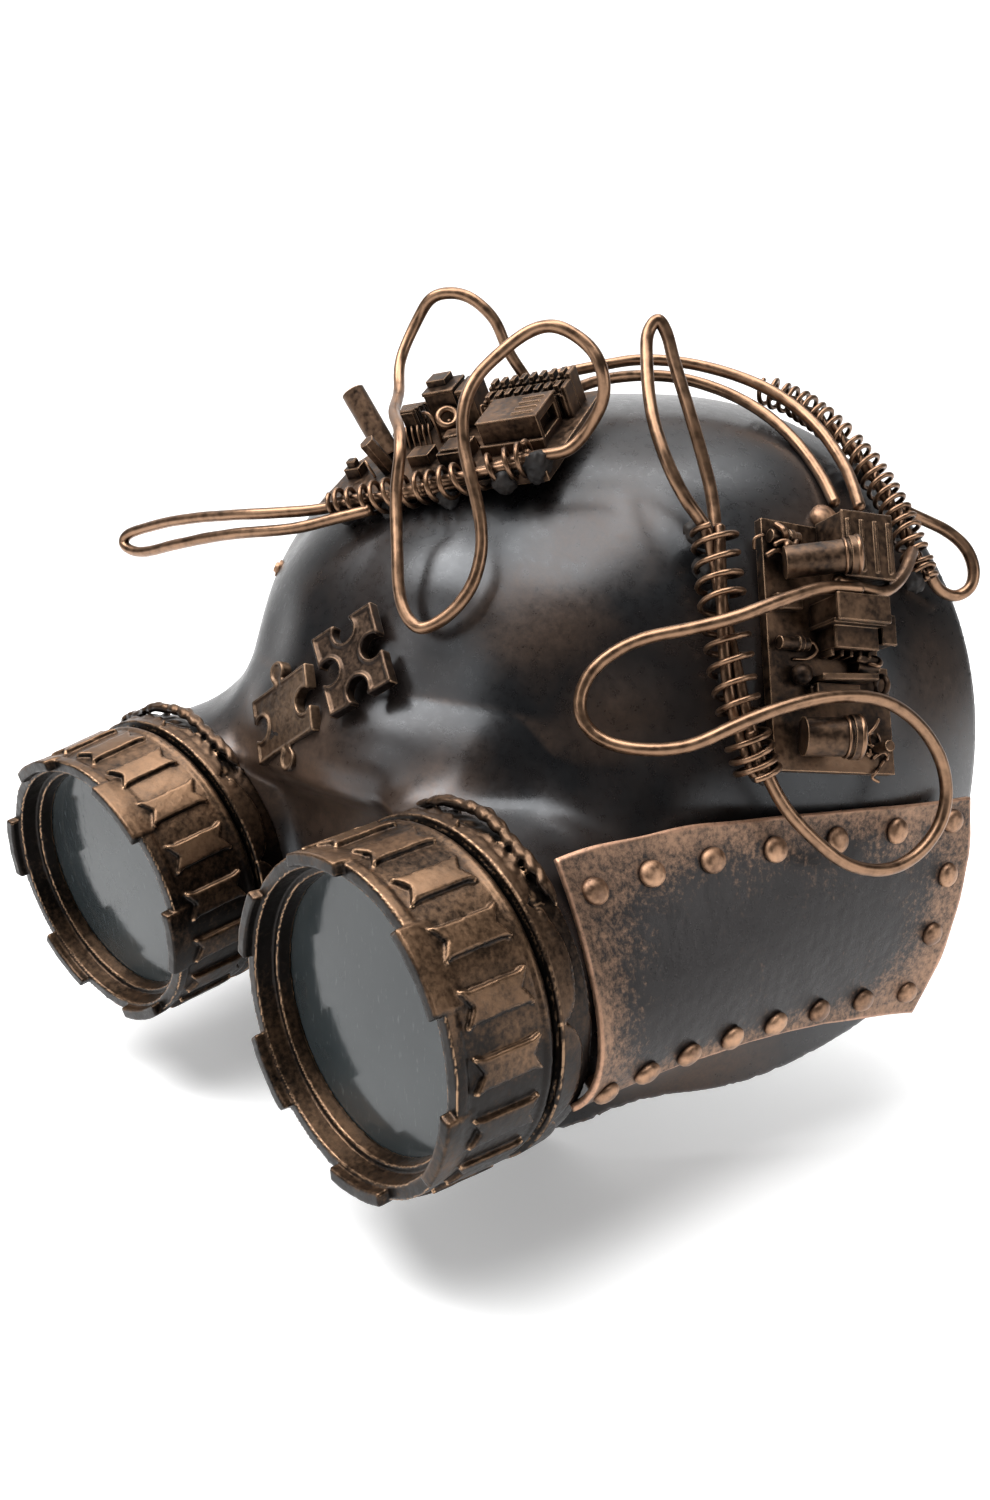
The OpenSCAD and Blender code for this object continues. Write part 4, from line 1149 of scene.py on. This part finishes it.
TEMPLE_LEADS = [
    ([(-3.2, 0, 2.1), (-2.0, 0.3, 2.4), (-1.2, -1.0, 2.2), (-2.6, -2.4, 1.6), (-5.6, -2.6, 1.3)], 0.3),
    ([(-11, 19.4, 2.1), (-12.6, 18.6, 1.8), (-12.4, 17.0, 1.2)], 0.32),
    ([(-8.6, 21.4, 2.6), (-8.0, 19.8, 4.2), (-7.2, 18.4, 3.4), (-7.8, 16.8, 4.6), (-6.6, 15.4, 3.0)], 0.6, 10),
    ([(-10.2, 15.8, 1.8), (-8.6, 16.6, 2.8), (-6.6, 16.0, 2.6), (-4.8, 16.6, 3.4), (-3.4, 15.4, 2.4)], 0.55, 10),
    ([(-9.4, 17.4, 3.2), (-7.8, 18.0, 3.9), (-6.2, 17.2, 4.2), (-5.0, 18.4, 3.4), (-4.2, 17.2, 2.0)], 0.5, 10),
    ([(8.4, -3.2, 4.2), (9.6, -3.6, 4.8), (10.8, -3.0, 4.4), (11.4, -1.8, 3.0), (11.2, -1.0, 1.0)], 0.4),
]
cans = can_end((-8.5, 13.8, 4.4), -28, 4, 11, 2.9) + can_end((-7, -17, 4.5), -20, -2, 8, 3.4)
leads("temple_fine_leads", TEMPLE, cans, TEMPLE_LEADS + tangle(np.random.default_rng(94)))

# ---------------------------------------------------------------- dark glue round the springs
GLUE = (  # for each blob its share along the spring, its offset from the middle and its radius
    ("glue_forehead", fore_core, 95, (
        (0.05, (0, 1.5, -2.2), 2.0), (0.3, (0, 1.2, -2.4), 1.6), (0.62, (0.5, 1.0, -2.6), 2.0),
        (0.85, (1.0, 0.5, -2.4), 2.6), (1.0, (1.2, 1.0, -1.5), 2.8),
    )),
    ("glue_temple", temple_core, 98, (
        (0.06, (-3.0, 0.5, 0.5), 2.6), (0.2, (-3.6, 1.0, 0.5), 2.2), (0.3, (-2.5, 2.4, 0), 1.8),
        (0.62, (-2.6, 2.0, 0), 1.7), (0.8, (-2.0, 2.6, 0), 1.8), (0.98, (-1.0, 2.4, -1.0), 1.9),
    )),
    ("glue_crown", crown_core, 101, (
        (0.5, (-1.5, -1.5, -2.0), 1.7), (0.75, (-1.5, -1.8, -1.6), 1.9), (0.97, (-1.2, -1.8, -1.0), 2.2),
    )),
)


def glue_blobs(line, rows, rng):
    """The middles and radii of the blobs, each with three smaller ones on its skin."""
    blobs = [(line[int(share * (len(line) - 1))] + out, r) for share, out, r in rows]
    for at, r in list(blobs):
        for _ in range(3):
            off = rng.normal(size=3)
            blobs.append((at + off / np.linalg.norm(off) * r * 0.8, r * rng.uniform(0.45, 0.7)))
    return blobs


def glue_field(blobs, seed):
    """The blobs run together, with a wrinkled skin."""

    def field(x, y, z):
        best = 1e9
        for (cx, cy, cz), r in blobs:
            best = smooth_min(best, np.sqrt((x - cx) ** 2 + (y - cy) ** 2 + (z - cz) ** 2) - r, 1.0)
        return best + 0.75 * np.abs(lumps(x, y, z, 2.6, seed + 1, 9)) + 0.4 * lumps(x, y, z, 1.3, seed + 2, 9)

    return field


for name, line, seed, rows in GLUE:
    blobs = glue_blobs(line, rows, np.random.default_rng(seed))
    middles = np.array([at for at, _ in blobs])
    box = middles.min(0) - 4, middles.max(0) + 4
    sculpt(name, glue_field(blobs, seed), box, 0.45, 0.4, dark_glue, "circuit_bronze")

# ---------------------------------------------------------------- stage, lights, camera
VIEW_TURN, VIEW_DOWN, VIEW_ROLL = math.radians(42.87), math.radians(15.71), math.radians(0.49)
EYE = (0.16725, -0.22550, 0.09146)


def backdrop():
    """A pale floor that curves up into a wall behind the object."""
    near, depth, height, bend, half, steps = -3.0, 1.6, 2.6, 0.9, 3.0, 12
    profile = [(near, 0.0), (depth - bend, 0.0)]
    for i in range(1, steps + 1):
        a = math.pi / 2 * i / steps
        profile.append((depth - bend + bend * math.sin(a), bend * (1 - math.cos(a))))
    profile.append((depth, height))
    place = Matrix.Translation((0, 0, cad_lo[2])) @ Matrix.Rotation(VIEW_TURN, 4, "Z")
    verts = [place @ Vector((x, y, z)) for y, z in profile for x in (-half, half)]
    faces = [(2 * i, 2 * i + 1, 2 * i + 3, 2 * i + 2) for i in range(len(profile) - 1)]
    mesh = bpy.data.meshes.new("floor")
    mesh.from_pydata(verts, [], faces)
    mesh.polygons.foreach_set("use_smooth", [True] * len(faces))
    obj = bpy.data.objects.new("floor", mesh)
    scene.collection.objects.link(obj)
    s = Shader("pale_floor")
    s.set("Base Color", s.mix(s.noise(3.0, 2), (0.86, 0.86, 0.86), (0.90, 0.90, 0.90)))
    s.set("Roughness", 0.9)
    s.set("Emission Color", (1, 1, 1, 1))
    s.set("Emission Strength", 0.3)
    mesh.materials.append(s.mat)


backdrop()


def softbox(name, place, size, power, aim=(0.0, -0.03, 0.03)):
    """A rectangular light that looks at its aim."""
    light = bpy.data.lights.new(name, "AREA")
    light.shape = "RECTANGLE"
    light.size, light.size_y = size
    light.energy = power
    obj = bpy.data.objects.new(name, light)
    obj.location = place
    obj.rotation_mode = "QUATERNION"
    obj.rotation_quaternion = (Vector(aim) - Vector(place)).to_track_quat("-Z", "Y")
    scene.collection.objects.link(obj)


softbox("top_light", (0.12, -0.10, 1.0), (0.58, 0.58), 8.5)
softbox("upper_light", (-0.42, -0.45, 0.80), (0.34, 0.34), 4.6)
softbox("brow_light", (-0.10, -0.56, 0.85), (0.42, 0.42), 4.8)
softbox("front_light", (-0.25, -0.90, 0.42), (0.40, 0.40), 1.4)
softbox("side_light", (1.0, 0.12, 0.22), (0.45, 0.45), 1.9)
softbox("wall_light", (-0.35, 0.35, 1.3), (1.2, 0.6), 16, (-1.1, 1.2, 0.2))

# the world is white behind the object and lights it only a little
world = bpy.data.worlds.new("studio")
world.use_nodes = True
background = world.node_tree.nodes["Background"]
background.inputs["Color"].default_value = (1, 1, 1, 1)
seen = world.node_tree.nodes.new("ShaderNodeLightPath").outputs["Is Camera Ray"]
brightness = world.node_tree.nodes.new("ShaderNodeMapRange")
brightness.inputs["To Min"].default_value = 0.05
brightness.inputs["To Max"].default_value = 0.95
world.node_tree.links.new(seen, brightness.inputs["Value"])
world.node_tree.links.new(brightness.outputs["Result"], background.inputs["Strength"])
scene.world = world
scene.view_settings.view_transform = "Standard"

camera = bpy.data.cameras.new("camera")
camera.lens = 26.88
camera.sensor_width = 36
camera.clip_start = 0.01
eye = bpy.data.objects.new("camera", camera)
eye.matrix_world = (
    Matrix.Translation(EYE)
    @ Matrix.Rotation(VIEW_TURN, 4, "Z")
    @ Matrix.Rotation(math.radians(90) - VIEW_DOWN, 4, "X")
    @ Matrix.Rotation(VIEW_ROLL, 4, "Z")
)
scene.collection.objects.link(eye)
scene.camera = eye

bpy.context.view_layer.update()
